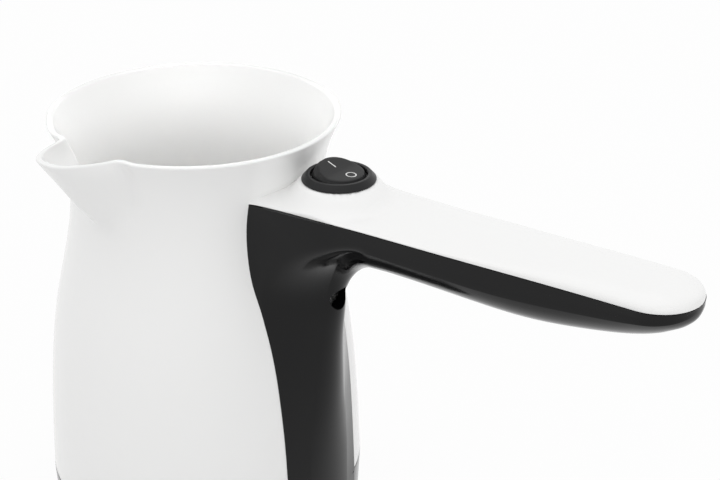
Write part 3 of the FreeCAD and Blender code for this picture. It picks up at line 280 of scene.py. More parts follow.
lamps = {
    "top": {"place": (-0.10, -0.15, 1.1), "aim": (0.03, 0, 0.08), "size": (1.1, 1.1), "power": 1.2,
            "spread": 180},
    "front": {"place": (0.95, -0.8, 0.5), "aim": (0.0, 0, 0.08), "size": (0.8, 0.8), "power": 0.95,
              "spread": 180},
    "inside": {"place": (0.0, 0.0, 0.62), "aim": (0.0, 0, 0.03), "size": (0.04, 0.04), "power": 0.04,
               "spread": 7},
}


def buildLamp(name, lamp):
    data = bpy.data.lights.new(name, "AREA")
    data.shape = "RECTANGLE"
    data.size, data.size_y = lamp["size"]
    data.energy = lamp["power"]
    data.spread = math.radians(lamp["spread"])
    holder = bpy.data.objects.new(name, data)
    holder.location = lamp["place"]
    aim = Vector(lamp["aim"]) - Vector(lamp["place"])
    holder.rotation_euler = aim.to_track_quat("-Z", "Y").to_euler()
    bpy.context.scene.collection.objects.link(holder)


for lampName, lampSizes in lamps.items():
    buildLamp(lampName, lampSizes)
print("camera and lamps placed")


# Materials

def newMaterial(name):
    material = bpy.data.materials.new(name)
    material.use_nodes = True
    nodes = material.node_tree.nodes
    shader = nodes["Principled BSDF"]
    return material, nodes, material.node_tree.links, shader


def addCoordinates(nodes):
    return nodes.new("ShaderNodeTexCoord").outputs["Object"]


skinNoise = {
    "cloudScale": 18.0,
    "cloudDetail": 3.0,
    "grainDetail": 2.0,
    "darkest": 0.9,
    "sockets": {
        "INPUT": {"Vector": "Vector", "Color": "Color", "Drift": "Float", "Roughness": "Float",
                  "Roughness spread": "Float", "Grain size": "Float"},
        "OUTPUT": {"Color": "Color", "Roughness": "Float", "Height": "Float"},
    },
}
bumpDepth = {"plastic": 0.0002, "metal": 0.0001, "sleeve": 0.0002}


def addBump(nodes, links, shader, height, strength, depth):
    bump = nodes.new("ShaderNodeBump")
    bump.inputs["Strength"].default_value = strength
    bump.inputs["Distance"].default_value = depth
    links.new(height, bump.inputs["Height"])
    links.new(bump.outputs["Normal"], shader.inputs["Normal"])


def addTint(nodes, links, shader, share, low, high):
    tint = nodes.new("ShaderNodeMix")
    tint.data_type = "RGBA"
    tint.inputs["A"].default_value = (*low, 1)
    tint.inputs["B"].default_value = (*high, 1)
    links.new(share, tint.inputs["Factor"])
    links.new(tint.outputs["Result"], shader.inputs["Base Color"])


def buildMouldedSkin():
    # faint waviness and colour drift of an injection moulded skin
    group = bpy.data.node_groups.new("mouldedSkin", "ShaderNodeTree")
    for side, sockets in skinNoise["sockets"].items():
        for name, kind in sockets.items():
            group.interface.new_socket(name, in_out=side, socket_type="NodeSocket" + kind)
    nodes, links = group.nodes, group.links
    start = nodes.new("NodeGroupInput")
    end = nodes.new("NodeGroupOutput")
    cloud = nodes.new("ShaderNodeTexNoise")
    cloud.inputs["Scale"].default_value = skinNoise["cloudScale"]
    cloud.inputs["Detail"].default_value = skinNoise["cloudDetail"]
    links.new(start.outputs["Vector"], cloud.inputs["Vector"])
    darker = nodes.new("ShaderNodeMix")
    darker.data_type = "RGBA"
    darker.blend_type = "MULTIPLY"
    tone = nodes.new("ShaderNodeMapRange")
    tone.inputs["To Min"].default_value = skinNoise["darkest"]
    tone.inputs["To Max"].default_value = 1.0
    links.new(cloud.outputs["Fac"], tone.inputs["Value"])
    links.new(start.outputs["Drift"], darker.inputs["Factor"])
    links.new(start.outputs["Color"], darker.inputs["A"])
    links.new(tone.outputs["Result"], darker.inputs["B"])
    links.new(darker.outputs["Result"], end.inputs["Color"])
    spread = nodes.new("ShaderNodeMath")
    spread.operation = "MULTIPLY_ADD"
    links.new(cloud.outputs["Fac"], spread.inputs[0])
    links.new(start.outputs["Roughness spread"], spread.inputs[1])
    links.new(start.outputs["Roughness"], spread.inputs[2])
    links.new(spread.outputs[0], end.inputs["Roughness"])
    grain = nodes.new("ShaderNodeTexNoise")
    grain.inputs["Detail"].default_value = skinNoise["grainDetail"]
    links.new(start.outputs["Vector"], grain.inputs["Vector"])
    links.new(start.outputs["Grain size"], grain.inputs["Scale"])
    links.new(grain.outputs["Fac"], end.inputs["Height"])
    return group


mouldedSkin = buildMouldedSkin()

plastics = {
    "potWhite": {"color": (0.935, 0.935, 0.93), "drift": 0.1, "roughness": 0.16, "spread": 0.05,
                 "grain": 900.0, "bump": 0.015, "specular": 0.5},
    "handleBlack": {"color": (0.004, 0.004, 0.0043), "drift": 0.6, "roughness": 0.1, "spread": 0.08,
                    "grain": 1200.0, "bump": 0.012, "specular": 0.22},
    # matt black of the screw recess; its darker colour is painted shade in the hollow
    "recessPaintedShade": {"color": (0.0015, 0.0015, 0.0015), "drift": 0.6, "roughness": 0.75, "spread": 0.1,
                    "grain": 1800.0, "bump": 0.1, "specular": 0.04},
    "baseBlack": {"color": (0.006, 0.006, 0.0065), "drift": 0.6, "roughness": 0.12, "spread": 0.08,
                  "grain": 1200.0, "bump": 0.012, "specular": 0.42},
    "switchBlack": {"color": (0.014, 0.014, 0.0145), "drift": 0.5, "roughness": 0.45, "spread": 0.08,
                    "grain": 2600.0, "bump": 0.12, "specular": 0.3},
    "bezelBlack": {"color": (0.009, 0.009, 0.0095), "drift": 0.5, "roughness": 0.34, "spread": 0.08,
                   "grain": 2600.0, "bump": 0.09, "specular": 0.28},
    "markWhite": {"color": (0.80, 0.80, 0.79), "drift": 0.4, "roughness": 0.4, "spread": 0.1,
                  "grain": 3000.0, "bump": 0.05, "specular": 0.4},
    "rubberBlack": {"color": (0.03, 0.03, 0.03), "drift": 0.8, "roughness": 0.7, "spread": 0.15,
                    "grain": 3500.0, "bump": 0.2, "specular": 0.3},
    "innerDark": {"color": (0.03, 0.03, 0.032), "drift": 0.8, "roughness": 0.5, "spread": 0.1,
                  "grain": 2000.0, "bump": 0.1, "specular": 0.4},
    "siliconeRed": {"color": (0.50, 0.12, 0.07), "drift": 0.8, "roughness": 0.55, "spread": 0.1,
                    "grain": 2500.0, "bump": 0.15, "specular": 0.3},
    "ceramicPale": {"color": (0.72, 0.68, 0.60), "drift": 0.8, "roughness": 0.5, "spread": 0.1,
                    "grain": 2800.0, "bump": 0.2, "specular": 0.4},
    "thermosetBrown": {"color": (0.10, 0.035, 0.015), "drift": 0.8, "roughness": 0.35, "spread": 0.1,
                       "grain": 1800.0, "bump": 0.1, "specular": 0.4},
    "blockWhite": {"color": (0.62, 0.62, 0.60), "drift": 0.7, "roughness": 0.4, "spread": 0.1,
                   "grain": 1800.0, "bump": 0.08, "specular": 0.4},
    "leadBrown": {"color": (0.09, 0.035, 0.015), "drift": 0.7, "roughness": 0.4, "spread": 0.1,
                  "grain": 2400.0, "bump": 0.1, "specular": 0.4},
    "leadBlue": {"color": (0.015, 0.06, 0.30), "drift": 0.7, "roughness": 0.4, "spread": 0.1,
                 "grain": 2400.0, "bump": 0.1, "specular": 0.4},
    "leadWhite": {"color": (0.62, 0.59, 0.52), "drift": 0.7, "roughness": 0.45, "spread": 0.1,
                  "grain": 2400.0, "bump": 0.1, "specular": 0.4},
}


def buildPlastic(name, look):
    material, nodes, links, shader = newMaterial(name)
    skin = nodes.new("ShaderNodeGroup")
    skin.node_tree = mouldedSkin
    links.new(addCoordinates(nodes), skin.inputs["Vector"])
    skin.inputs["Color"].default_value = (*look["color"], 1)
    skin.inputs["Drift"].default_value = look["drift"]
    skin.inputs["Roughness"].default_value = look["roughness"]
    skin.inputs["Roughness spread"].default_value = look["spread"]
    skin.inputs["Grain size"].default_value = look["grain"]
    links.new(skin.outputs["Color"], shader.inputs["Base Color"])
    links.new(skin.outputs["Roughness"], shader.inputs["Roughness"])
    addBump(nodes, links, shader, skin.outputs["Height"], look["bump"], bumpDepth["plastic"])
    shader.inputs["Specular IOR Level"].default_value = look["specular"]
    return material


materials = {name: buildPlastic(name, look) for name, look in plastics.items()}

metals = {
    "steel": {"color": (0.56, 0.56, 0.55), "roughness": 0.24, "stretch": (1, 1, 60), "scale": 60.0,
              "bump": 0.05},
    "plateSteel": {"color": (0.60, 0.60, 0.59), "roughness": 0.22, "stretch": (1, 1, 1), "scale": 120.0,
                   "bump": 0.03},
    "aluminium": {"color": (0.76, 0.76, 0.77), "roughness": 0.32, "stretch": (1, 1, 1), "scale": 300.0,
                  "bump": 0.1},
    "brass": {"color": (0.62, 0.45, 0.17), "roughness": 0.26, "stretch": (1, 1, 1), "scale": 400.0,
              "bump": 0.06},
}
metalNoise = {"detail": 4.0, "smoother": 0.06, "rougher": 0.12, "darker": 0.86}


def buildMetal(name, look):
    material, nodes, links, shader = newMaterial(name)
    mapping = nodes.new("ShaderNodeMapping")
    mapping.inputs["Scale"].default_value = look["stretch"]
    links.new(addCoordinates(nodes), mapping.inputs["Vector"])
    noise = nodes.new("ShaderNodeTexNoise")
    noise.inputs["Scale"].default_value = look["scale"]
    noise.inputs["Detail"].default_value = metalNoise["detail"]
    links.new(mapping.outputs["Vector"], noise.inputs["Vector"])
    tone = nodes.new("ShaderNodeMapRange")
    tone.inputs["To Min"].default_value = look["roughness"] - metalNoise["smoother"]
    tone.inputs["To Max"].default_value = look["roughness"] + metalNoise["rougher"]
    links.new(noise.outputs["Fac"], tone.inputs["Value"])
    links.new(tone.outputs["Result"], shader.inputs["Roughness"])
    darker = [metalNoise["darker"] * part for part in look["color"]]
    addTint(nodes, links, shader, noise.outputs["Fac"], darker, look["color"])
    addBump(nodes, links, shader, noise.outputs["Fac"], look["bump"], bumpDepth["metal"])
    shader.inputs["Metallic"].default_value = 1.0
    return material


for metalName, metalLook in metals.items():
    materials[metalName] = buildMetal(metalName, metalLook)


sleeve = {
    "turns": (0.7, -0.7),
    "scale": 420.0,
    "dark": (0.50, 0.48, 0.42),
    "pale": (0.74, 0.72, 0.66),
    "bump": 0.4,
    "roughness": 0.75,
}

earthStripe = {
    "scale": 90.0,
    "distortion": 1.0,
    # place on the ramp, colour
    "ramp": [(0.52, (0.03, 0.22, 0.04, 1)), (0.56, (0.75, 0.62, 0.04, 1))],
    "roughness": 0.42,
}


def buildSleeveWeave():
    # braided glass sleeve: two crossing waves
    material, nodes, links, shader = newMaterial("sleeveWeave")
    place = addCoordinates(nodes)
    heights = []
    for turn in sleeve["turns"]:
        mapping = nodes.new("ShaderNodeMapping")
        mapping.inputs["Rotation"].default_value = (turn, 0, turn)
        links.new(place, mapping.inputs["Vector"])
        wave = nodes.new("ShaderNodeTexWave")
        wave.inputs["Scale"].default_value = sleeve["scale"]
        links.new(mapping.outputs["Vector"], wave.inputs["Vector"])
        heights.append(wave.outputs["Fac"])
    both = nodes.new("ShaderNodeMath")
    both.operation = "MULTIPLY"
    links.new(heights[0], both.inputs[0])
    links.new(heights[1], both.inputs[1])
    addTint(nodes, links, shader, both.outputs[0], sleeve["dark"], sleeve["pale"])
    addBump(nodes, links, shader, both.outputs[0], sleeve["bump"], bumpDepth["sleeve"])
    shader.inputs["Roughness"].default_value = sleeve["roughness"]
    return material


def buildEarthStripe():
    # green insulation with a yellow stripe
    material, nodes, links, shader = newMaterial("leadEarth")
    wave = nodes.new("ShaderNodeTexWave")
    wave.inputs["Scale"].default_value = earthStripe["scale"]
    wave.inputs["Distortion"].default_value = earthStripe["distortion"]
    links.new(addCoordinates(nodes), wave.inputs["Vector"])
    ramp = nodes.new("ShaderNodeValToRGB")
    for element, (place, colour) in zip(ramp.color_ramp.elements, earthStripe["ramp"]):
        element.position = place
        element.color = colour
    links.new(wave.outputs["Fac"], ramp.inputs["Fac"])
    links.new(ramp.outputs["Color"], shader.inputs["Base Color"])
    shader.inputs["Roughness"].default_value = earthStripe["roughness"]
    return material


materials["sleeveWeave"] = buildSleeveWeave()
materials["leadEarth"] = buildEarthStripe()

nodeFinishes = {
    "potWhite": ["body_shell", "handle_cover"],
    "handleBlack": ["handle_shell"],
    "baseBlack": ["base_housing"],
    "bezelBlack": ["switch_housing"],
    "switchBlack": ["switch_rocker"],
    "innerDark": ["switch_plunger"],
    "steel": ["handle_screw", "clamp_ring", "clamp_screws", "heater_pins", "thermostat_bracket",
              "bracket_screws", "thermal_fuse", "earth_tab", "base_screws", "block_screws", "plunger_spring"],
    "plateSteel": ["heating_plate"],
    "aluminium": ["heat_spreader", "heater_element", "thermostat_cap"],
    "brass": ["screw_insert", "contact_lever", "switch_terminals", "switch_receptacles",
              "thermostat_blades", "thermostat_receptacles", "block_inserts"],
    "siliconeRed": ["plate_seal"],
    "ceramicPale": ["heater_beads"],
    "thermosetBrown": ["thermostat_body"],
    "blockWhite": ["terminal_block"],
    "rubberBlack": ["rubber_feet", "cord_bush"],
    "sleeveWeave": ["fuse_sleeve"],
    "leadBrown": ["live_lead", "switched_lead"],
    "leadWhite": ["heater_lead", "fuse_lead"],
    "leadBlue": ["neutral_lead"],
    "leadEarth": ["earth_lead"],
}

for finishName, nodeNames in nodeFinishes.items():
    for nodeName in nodeNames:
        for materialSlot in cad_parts[nodeName].material_slots:
            materialSlot.material = materials[finishName]
print("materials made:", len(materials))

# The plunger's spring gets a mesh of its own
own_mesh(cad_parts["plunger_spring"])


# White pot body

pot = {
    "lowEdge": 16.0,
    # height above the body's lower edge, outer radius
    "outline": [(0.0, 52.9), (20.8, 52.05), (41.6, 50.6), (62.4, 47.7), (83.2, 43.12), (99.0, 41.1),
                (105.5, 41.32), (112.0, 42.27), (118.5, 44.19), (125.0, 47.25)],
    "rim": 125.0,
    "wall": 2.4,
    "skirt": 50.2,
    "seat": 12.0,
    "ledge": 2.0,
    "floorOpening": 41.5,
    "lowRounding": 0.4,
    "lowShare": 0.3,
    "outerLip": 0.45,
    "innerLip": 1.1,
    "innerLipSteps": 6,
    "innerLean": 0.4,
    "innerStart": 1.6,
    # the rings lie closer over this depth below the rim; counts below it and over it
    "fineDepth": 17.0,
    "outerRings": (44, 15),
    "innerRings": (38, 15),
    "coveSteps": 8,
    "segments": 360,
}

spout = {
    "azimuth": -96.5,
    # height above the body's lower edge, distance of the ridge from the axis
    "ridge": [(94.0, 38.6), (97.7, 40.6), (102.4, 44.6), (106.8, 48.4), (112.2, 52.4), (118.7, 56.9),
              (123.5, 60.4), (127.2, 63.0)],
    # height above the body's lower edge, half angle where the flank leaves the pot
    "flank": [(94.0, 9.0), (97.7, 10.0), (100.4, 12.5), (104.6, 16.0), (110.9, 18.6), (117.8, 19.4),
              (122.3, 18.6), (125.0, 17.2), (127.2, 16.4)],
    # in radians
    "ridgeRounding": 0.05,
    "billFrom": 106.0,
    "billHeight": 19.0,
    "billBulge": 5.6,
    "blend": 1.8,
    "valleyFrom": 97.0,
    "valleyHeight": 13.0,
    "valleyDepth": 1.3,
    "valleyWidth": 4.2,
    "rise": 0.6,
    "riseDepth": 12.0,
    "riseBulge": 14.0,
    "widestShare": 0.75,
    "falloff": 0.5,
    "reach": 40.0,
}

potRadiusAt = smoothLine(pot["outline"])
spoutRidgeAt = smoothLine(spout["ridge"])
spoutFlankAt = smoothLine(spout["flank"])


def awayFromSpout(azimuth):
    return (azimuth - spout["azimuth"] + 180) % 360 - 180


def spoutReachAt(azimuth, height):
    # distance from the axis to the flank between the ridge and the wall; the bill swells near the rim
    away = math.radians(awayFromSpout(azimuth))
    flankEnd = math.radians(spoutFlankAt(height))
    slack = spout["ridgeRounding"] * max(1 - abs(away) / flankEnd, 0.0)
    away = math.sqrt(away * away + spout["ridgeRounding"] ** 2) - slack
    ridge = spoutRidgeAt(height)
    side = potRadiusAt(height)
    if ridge <= side:
        return ridge - spout["falloff"] * side * away
    half = min(flankEnd, spout["widestShare"] * math.acos(side / ridge))
    near = min(away, abs(2 * half - away)) if away < 2 * half else 0.0
    line = ridge * side * math.sin(half) / (ridge * math.sin(near) + side * math.sin(half - near))
    if away <= half:
        share = away / half
        swell = spout["billBulge"] * ease((height - spout["billFrom"]) / spout["billHeight"])
        return line + swell * 4 * share * (1 - share) * (1 - share)
    return 2 * side - line - spout["falloff"] * side * max(away - 2 * half, 0.0)


def wallRadiusAt(azimuth, height):
    # the wall with the spout, and a shallow valley on each side of it
    plain = potRadiusAt(height)
    flank = spoutReachAt(azimuth, height)
    away = abs(awayFromSpout(azimuth))
    valley = (away - spoutFlankAt(height)) / spout["valleyWidth"]
    grown = ease((height - spout["valleyFrom"]) / spout["valleyHeight"])
    drop = spout["valleyDepth"] * math.exp(-valley * valley) * grown
    if flank < plain - spout["blend"]:
        return plain - drop
    return softMax(plain, flank, spout["blend"]) - drop


def potProfile():
    rim = pot["rim"]
    lip = pot["wall"] / 2
    fineFrom = rim - pot["fineDepth"]
    coarse, fine = pot["outerRings"]
    heights = list(np.linspace(pot["lowRounding"], fineFrom - 1, coarse))
    heights += list(np.linspace(fineFrom, rim - lip, fine))
    outer = [(potRadiusAt(height), height) for height in heights]
    outerEdge = (potRadiusAt(rim), rim)
    lipArc = roundedCorner(outerEdge, outer[-1], (outerEdge[0] - lip, rim), pot["outerLip"])
    innerEdge = (outerEdge[0] - pot["wall"], rim)
    lean = (innerEdge[0] - pot["innerLean"], rim - lip)
    lipArc += roundedCorner(innerEdge, (innerEdge[0] + lip, rim), lean, pot["innerLip"], pot["innerLipSteps"])
    floorTop = pot["seat"] + pot["ledge"]
    cove = potRadiusAt(floorTop) - pot["wall"] - pot["floorOpening"]
    coveTop = floorTop + cove
    coarse, fine = pot["innerRings"]
    innerHeights = list(np.linspace(rim - pot["innerStart"] * lip, fineFrom, fine))
    innerHeights += list(np.linspace(fineFrom - 1, coveTop, coarse))
    inner = [(potRadiusAt(height) - pot["wall"], height) for height in innerHeights]
    coveRadius = inner[-1][0] - pot["floorOpening"]
    coveArc = []
    for step in range(1, pot["coveSteps"] + 1):
        angle = math.pi / 2 * step / pot["coveSteps"]
        radius = pot["floorOpening"] + coveRadius * math.cos(angle)
        coveArc.append((radius, coveTop - coveRadius * math.sin(angle)))
    low = [
        (pot["floorOpening"], pot["seat"]),
        (pot["skirt"], pot["seat"]),
        (pot["skirt"], 0.0),
        (potRadiusAt(0) - pot["lowRounding"], 0.0),
        (potRadiusAt(0) - pot["lowShare"] * pot["lowRounding"], pot["lowShare"] * pot["lowRounding"]),
    ]
    return outer + lipArc + inner + coveArc + low


def buildPot():
    bm = spinProfile(potProfile(), pot["segments"], closed=True)
    turn = Matrix.Rotation(math.radians(spout["azimuth"]), 3, "Z")
    bmesh.ops.rotate(bm, verts=bm.verts, cent=(0, 0, 0), matrix=turn)
    for vert in bm.verts:
        x, y, height = vert.co
        radius = math.hypot(x, y)
        azimuth = math.degrees(math.atan2(y, x))
        away = abs(awayFromSpout(azimuth))
        if away < spout["reach"] and height > spout["ridge"][0][0]:
            plain = potRadiusAt(height)
            bulge = wallRadiusAt(azimuth, height) - plain
            share = (radius + bulge) / radius
            lift = ease((height - pot["rim"] + spout["riseDepth"]) / spout["riseDepth"])
            lift *= spout["rise"] * ease(bulge / spout["riseBulge"])
            vert.co = (x * share, y * share, height + lift)
        vert.co.z += pot["lowEdge"]
    return finishPiece(bm, "potBody", "pot", ["body_shell"], sharpAngle=50)


potBody = buildPot()
potBody.data.materials.append(materials["potWhite"])
print("pot body made")


# Black handle: column against the pot, bend, arm and rounded tip

handle = {
    "base": 16.0,
    "parting": 108.95,
    # height, back line, half width and depth of the back, half width at the pot
    "column": [(0.0, 54.0, 9.8, 1.2, 17.6), (12.0, 54.2, 9.8, 1.4, 17.7), (25.0, 54.6, 9.6, 1.9, 17.8),
               (40.0, 55.3, 8.4, 2.4, 18.1), (52.0, 55.9, 7.2, 2.4, 18.3), (62.0, 56.8, 6.0, 2.3, 18.6),
               (71.3, 58.0, 5.2, 2.2, 19.0)],
    "bendCentre": (78.7, 71.5),
    "bendRadius": 20.7,
    # angle, half width and depth of the underside, half width and depth of the side
    "bend": [(15.0, 4.6, 2.8, 19.0, 17.0), (30.0, 4.5, 3.6, 18.6, 16.0), (45.0, 5.8, 4.9, 18.0, 14.6),
             (60.0, 9.9, 6.5, 17.3, 13.2), (75.0, 13.6, 8.7, 16.4, 12.4)],
    # place, half width, height of the underside, height of the side's lower edge
    "arm": [(78.5, 15.8, 92.2, 102.5), (92.0, 15.4, 92.2, 102.0), (110.0, 14.7, 91.6, 101.3),
            (130.0, 13.9, 91.5, 101.4), (150.0, 13.4, 94.0, 103.0), (166.0, 13.4, 97.8, 105.0)],
    "tipRadius": 13.2,
    # angle round the tip, share of the underside's depth, share of the side's depth
    "tip": [(12.0, 0.91, 0.95), (25.0, 0.80, 0.88), (37.0, 0.69, 0.80), (48.0, 0.60, 0.72),
            (58.0, 0.50, 0.63), (66.0, 0.42, 0.55), (73.0, 0.34, 0.46), (79.0, 0.26, 0.38),
            (84.0, 0.19, 0.30)],
    # shares along the back, the flank, the side and the top of a section
    "backShares": (0, 0.15, 0.3, 0.45, 0.6, 0.72, 0.82, 0.9),
    "flankShares": (0.12, 0.25, 0.4, 0.55, 0.7, 0.85),
    "sideShares": (0.0, 0.2, 0.4, 0.6, 0.8, 1.0),
    "topShares": (0.9, 0.75, 0.55, 0.3, 0.0),
    "sharpAngle": 40,
    "edgeRounding": 0.9,
    "roundingLimits": {"back": 0.3, "corner": 0.4},
    "leastDepth": 0.05,
    "leastLean": 0.001,
    "fullness": 0.34,
    "fullFrom": 60.0,
    "step": 0.4,
    "inset": 1.2,
    "wallLimit": 109.0,
    "wallSearch": 6,
    "sideLean": 0.1,
    "sideDepth": {"arm": 2.5, "tip": 1.2},
    "topWider": {"column": 0.2, "bendStart": 1.4, "bendEnd": 0.4, "arm": 0.3},
    "turnWeight": 0.15,
    "ringSpacing": 1.6,
    "screwHole": {"radius": 4.1, "height": 91.6, "mouth": 58.0, "depth": 13.0, "beyond": 20.0,
                  "paintMargin": 4.0, "slack": 0.02, "floorSlack": 0.5, "segments": 48},
}


def handleStations():
    # rows: path length, back x, back z, inward angle, half back, depth, half side, side depth, top half
    rows = []
    centre = handle["bendCentre"]
    wider = handle["topWider"]
    lastAngle = handle["bend"][-1][0]
    for height, back, halfBack, depth, halfSide in handle["column"]:
        side = math.sqrt(potRadiusAt(height) ** 2 - halfSide ** 2) + handle["step"]
        rows.append([back, height, 180.0, halfBack, depth, halfSide, back - side,
                     halfSide + wider["column"]])
    for angle, halfBack, depth, halfSide, sideDepth in handle["bend"]:
        turn = math.radians(angle)
        backX = centre[0] - handle["bendRadius"] * math.cos(turn)
        backZ = centre[1] + handle["bendRadius"] * math.sin(turn)
        rows.append([backX, backZ, 180.0 - angle, halfBack, depth, halfSide, sideDepth,
                     halfSide + mixed(wider["bendStart"], wider["bendEnd"], angle / lastAngle)])
    for place, half, low, edge in handle["arm"]:
        rows.append([place, low, 90.0, half, edge - low, half + handle["sideLean"],
                     edge - low + handle["sideDepth"]["arm"], half + wider["arm"]])
    last = handle["arm"][-1]
    deep = handle["parting"] - last[2]
    side = handle["parting"] - last[3]
    for angle, lowShare, edgeShare in handle["tip"]:
        turn = math.radians(angle)
        low = handle["parting"] - deep * lowShare
        edge = handle["parting"] - side * edgeShare
        half = handle["tipRadius"] * math.cos(turn)
        place = last[0] + handle["tipRadius"] * math.sin(turn)
        rows.append([place, low, 90.0, half, edge - low, half + handle["sideLean"],
                     edge - low + handle["sideDepth"]["tip"], half + wider["arm"]])
    length = 0.0
    stations = [[length] + rows[0]]
    for before, row in zip(rows, rows[1:]):
        length += math.hypot(row[0] - before[0], row[1] - before[1])
        length += handle["turnWeight"] * abs(row[2] - before[2])
        stations.append([length] + row)
    return stations


def topDepthAt(back, inward, across):
    # how far a section reaches inwards: to inside the pot's wall, or to the parting plane
    toParting = (handle["parting"] - back.z) / max(inward.z, handle["leastLean"])
    toPot = toParting
    for step in range(handle["wallSearch"]):
        level = min(back.z + inward.z * toPot, handle["wallLimit"])
        wall = math.sqrt(potRadiusAt(level) ** 2 - across ** 2) - handle["inset"]
        toPot = (back.x - wall) / max(-inward.x, handle["leastLean"])
    return min(toParting, toPot)


def handleSection(values):
    # points of one section, from the back's middle out to one side and in to the pot, then mirrored
    backX, backZ, angle, halfBack, depth, halfSide, sideDepth, topHalf = values
    inward = Vector((math.cos(math.radians(angle)), 0, math.sin(math.radians(angle))))
    back = Vector((backX, 0, backZ))
    radius = (halfBack ** 2 + depth ** 2) / (2 * max(depth, handle["leastDepth"]))
    spread = math.asin(min(halfBack / radius, 1.0))
    half = []
    for share in handle["backShares"]:
        turn = spread * share
        half.append((radius * math.sin(turn), radius * (1 - math.cos(turn))))
    knee = Vector((halfSide, sideDepth))
    corner = Vector((halfBack, depth))
    before = Vector(half[-1])
    limits = handle["roundingLimits"]
    rounding = min(handle["edgeRounding"], limits["back"] * halfBack,
                   limits["corner"] * (corner - before).length)
    # straight flank on the column, full and rounded flank in the bend
    full = Vector((halfSide, mixed(depth, sideDepth, handle["fullness"])))
    control = corner.lerp(knee, 0.5).lerp(full, ease((180 - angle) / handle["fullFrom"]))
    half += roundedCorner(corner, before, control, rounding)
    for share in handle["flankShares"]:
        half.append(tuple(corner.lerp(control, share).lerp(control.lerp(knee, share), share)))
    top = Vector((topHalf, topDepthAt(back, inward, topHalf)))
    for share in handle["sideShares"]:
        half.append(tuple(knee.lerp(top, share)))
    for share in handle["topShares"]:
        half.append((topHalf * share, topDepthAt(back, inward, topHalf * share)))
    across = Vector((0, 1, 0))
    points = [back + inward * down + across * out for out, down in half]
    others = [back + inward * down - across * out for out, down in half[1:-1]]
    return points + others[::-1]


def cutScrewHole(shell):
    # recess for the handle screw, in from the back of the column
    hole = handle["screwHole"]
    length = hole["depth"] + hole["beyond"]
    bm = spinProfile([(0, 0), (hole["radius"], 0), (hole["radius"], length), (0, length)], hole["segments"])
    bmesh.ops.recalc_face_normals(bm, faces=bm.faces)
    bmesh.ops.rotate(bm, verts=bm.verts, cent=(0, 0, 0), matrix=Matrix.Rotation(math.radians(90), 3, "Y"))
    bmesh.ops.translate(bm, vec=(hole["mouth"] - hole["depth"], 0, hole["height"]), verts=bm.verts)
    bmesh.ops.scale(bm, vec=(mm, mm, mm), verts=bm.verts)
    cutter = newObject(bm, "screwHoleCutter")
    modifier = shell.modifiers.new("screwHole", "BOOLEAN")
    modifier.operation = "DIFFERENCE"
    modifier.solver = "EXACT"
    modifier.object = cutter
    depsgraph = bpy.context.evaluated_depsgraph_get()
    cut = bpy.data.meshes.new_from_object(shell.evaluated_get(depsgraph))
    shell.modifiers.clear()
    old = shell.data
    shell.data = cut
    bpy.data.meshes.remove(old)
    bpy.data.objects.remove(cutter)
    smoothSkin(cut, handle["sharpAngle"])


def paintScrewHoleShade(shell):
    # the recess is matt, and its darker black is painted shade in the hollow
    hole = handle["screwHole"]
    for polygon in shell.data.polygons:
        x, y, z = polygon.center / mm
        away = math.hypot(y, z - hole["height"])
        onWall = away < hole["radius"] + hole["slack"] and x < hole["mouth"] + hole["paintMargin"]
        bottom = hole["mouth"] - hole["depth"]
        onFloor = away < hole["radius"] - hole["floorSlack"] and x < bottom + hole["floorSlack"]
        if (onWall and polygon.normal.x < 0.5) or onFloor:
            polygon.material_index = 1


def buildHandle():
    stations = handleStations()
    lines = [smoothLine(stations, column) if column in (1, 2) else easyLine(stations, column)
             for column in range(1, 9)]
    keys = []
    for before, after in zip(stations, stations[1:]):
        count = max(int((after[0] - before[0]) / handle["ringSpacing"]), 2)
        keys += list(np.linspace(before[0], after[0], count, endpoint=False))
    keys.append(stations[-1][0])
    rings = []
    for key in keys:
        ring = handleSection([line(key) for line in lines])
        rings.append([point + Vector((0, 0, handle["base"])) for point in ring])
    bm = sweepRings(rings)
    shell = finishPiece(bm, "handleShell", "pot", ["handle_shell"], handle["sharpAngle"])
    cutScrewHole(shell)
    return shell


handleShell = buildHandle()
handleShell.data.materials.append(materials["handleBlack"])
# second slot: the screw recess, darker as painted shade
handleShell.data.materials.append(materials["recessPaintedShade"])
paintScrewHoleShade(handleShell)
print("handle made")


# White cover on the handle, with the raised seat of the switch

cover = {
    "parting": 124.95,
    # place along the handle, height of the crown above the parting plane
    "crown": [(40.0, 2.4), (57.4, 2.1), (76.0, 1.9), (92.0, 2.1), (110.0, 2.8), (130.0, 4.1), (150.0, 5.1),
              (166.0, 5.2)],
    "halfWidth": [(36.0, 20.4), (57.4, 17.5), (74.5, 16.0), (92.0, 15.4), (110.0, 14.8), (130.0, 14.0),
                  (150.0, 13.4), (166.0, 13.2)],
    # place along the handle, height of the side's edge above the parting plane
    "side": [(40.0, 0.3), (92.0, 0.35), (115.0, 0.8), (166.0, 0.9)],
    "power": 2.0,
    "tipRadius": 13.15,
    "seam": 0.15,
    "tipTurn": 87.0,
    "tipCrown": 0.30,
    "tipPower": 0.8,
    # spacing of the points across, share of the length that bends to the pot, overlap with the pot
    "spacing": 0.8,
    "wallShare": 0.25,
    "sink": 0.5,
    "rings": {"wallShare": 0.24, "wall": 30, "length": 60, "tip": 16, "across": 40, "under": 6},
    "pad": {"place": 57.4, "radius": 12.2, "height": 6.8, "slope": 1.25, "blend": 2.6},
}

crownAt = smoothLine(cover["crown"])
coverHalfAt = smoothLine(cover["halfWidth"])
coverSideAt = easyLine(cover["side"])


def coverHeight(x, y, half, crown, lowSide):
    # height of the cover's skin above the parting plane
    share = min(abs(y) / half, 1.0)
    plain = lowSide + (crown - lowSide) * (1 - share ** cover["power"]) ** (1 / cover["power"])
    pad = cover["pad"]
    away = math.hypot(x - pad["place"], y)
    raised = pad["height"] - max(away - pad["radius"], 0.0) * pad["slope"]
    return softMax(plain, raised, pad["blend"])


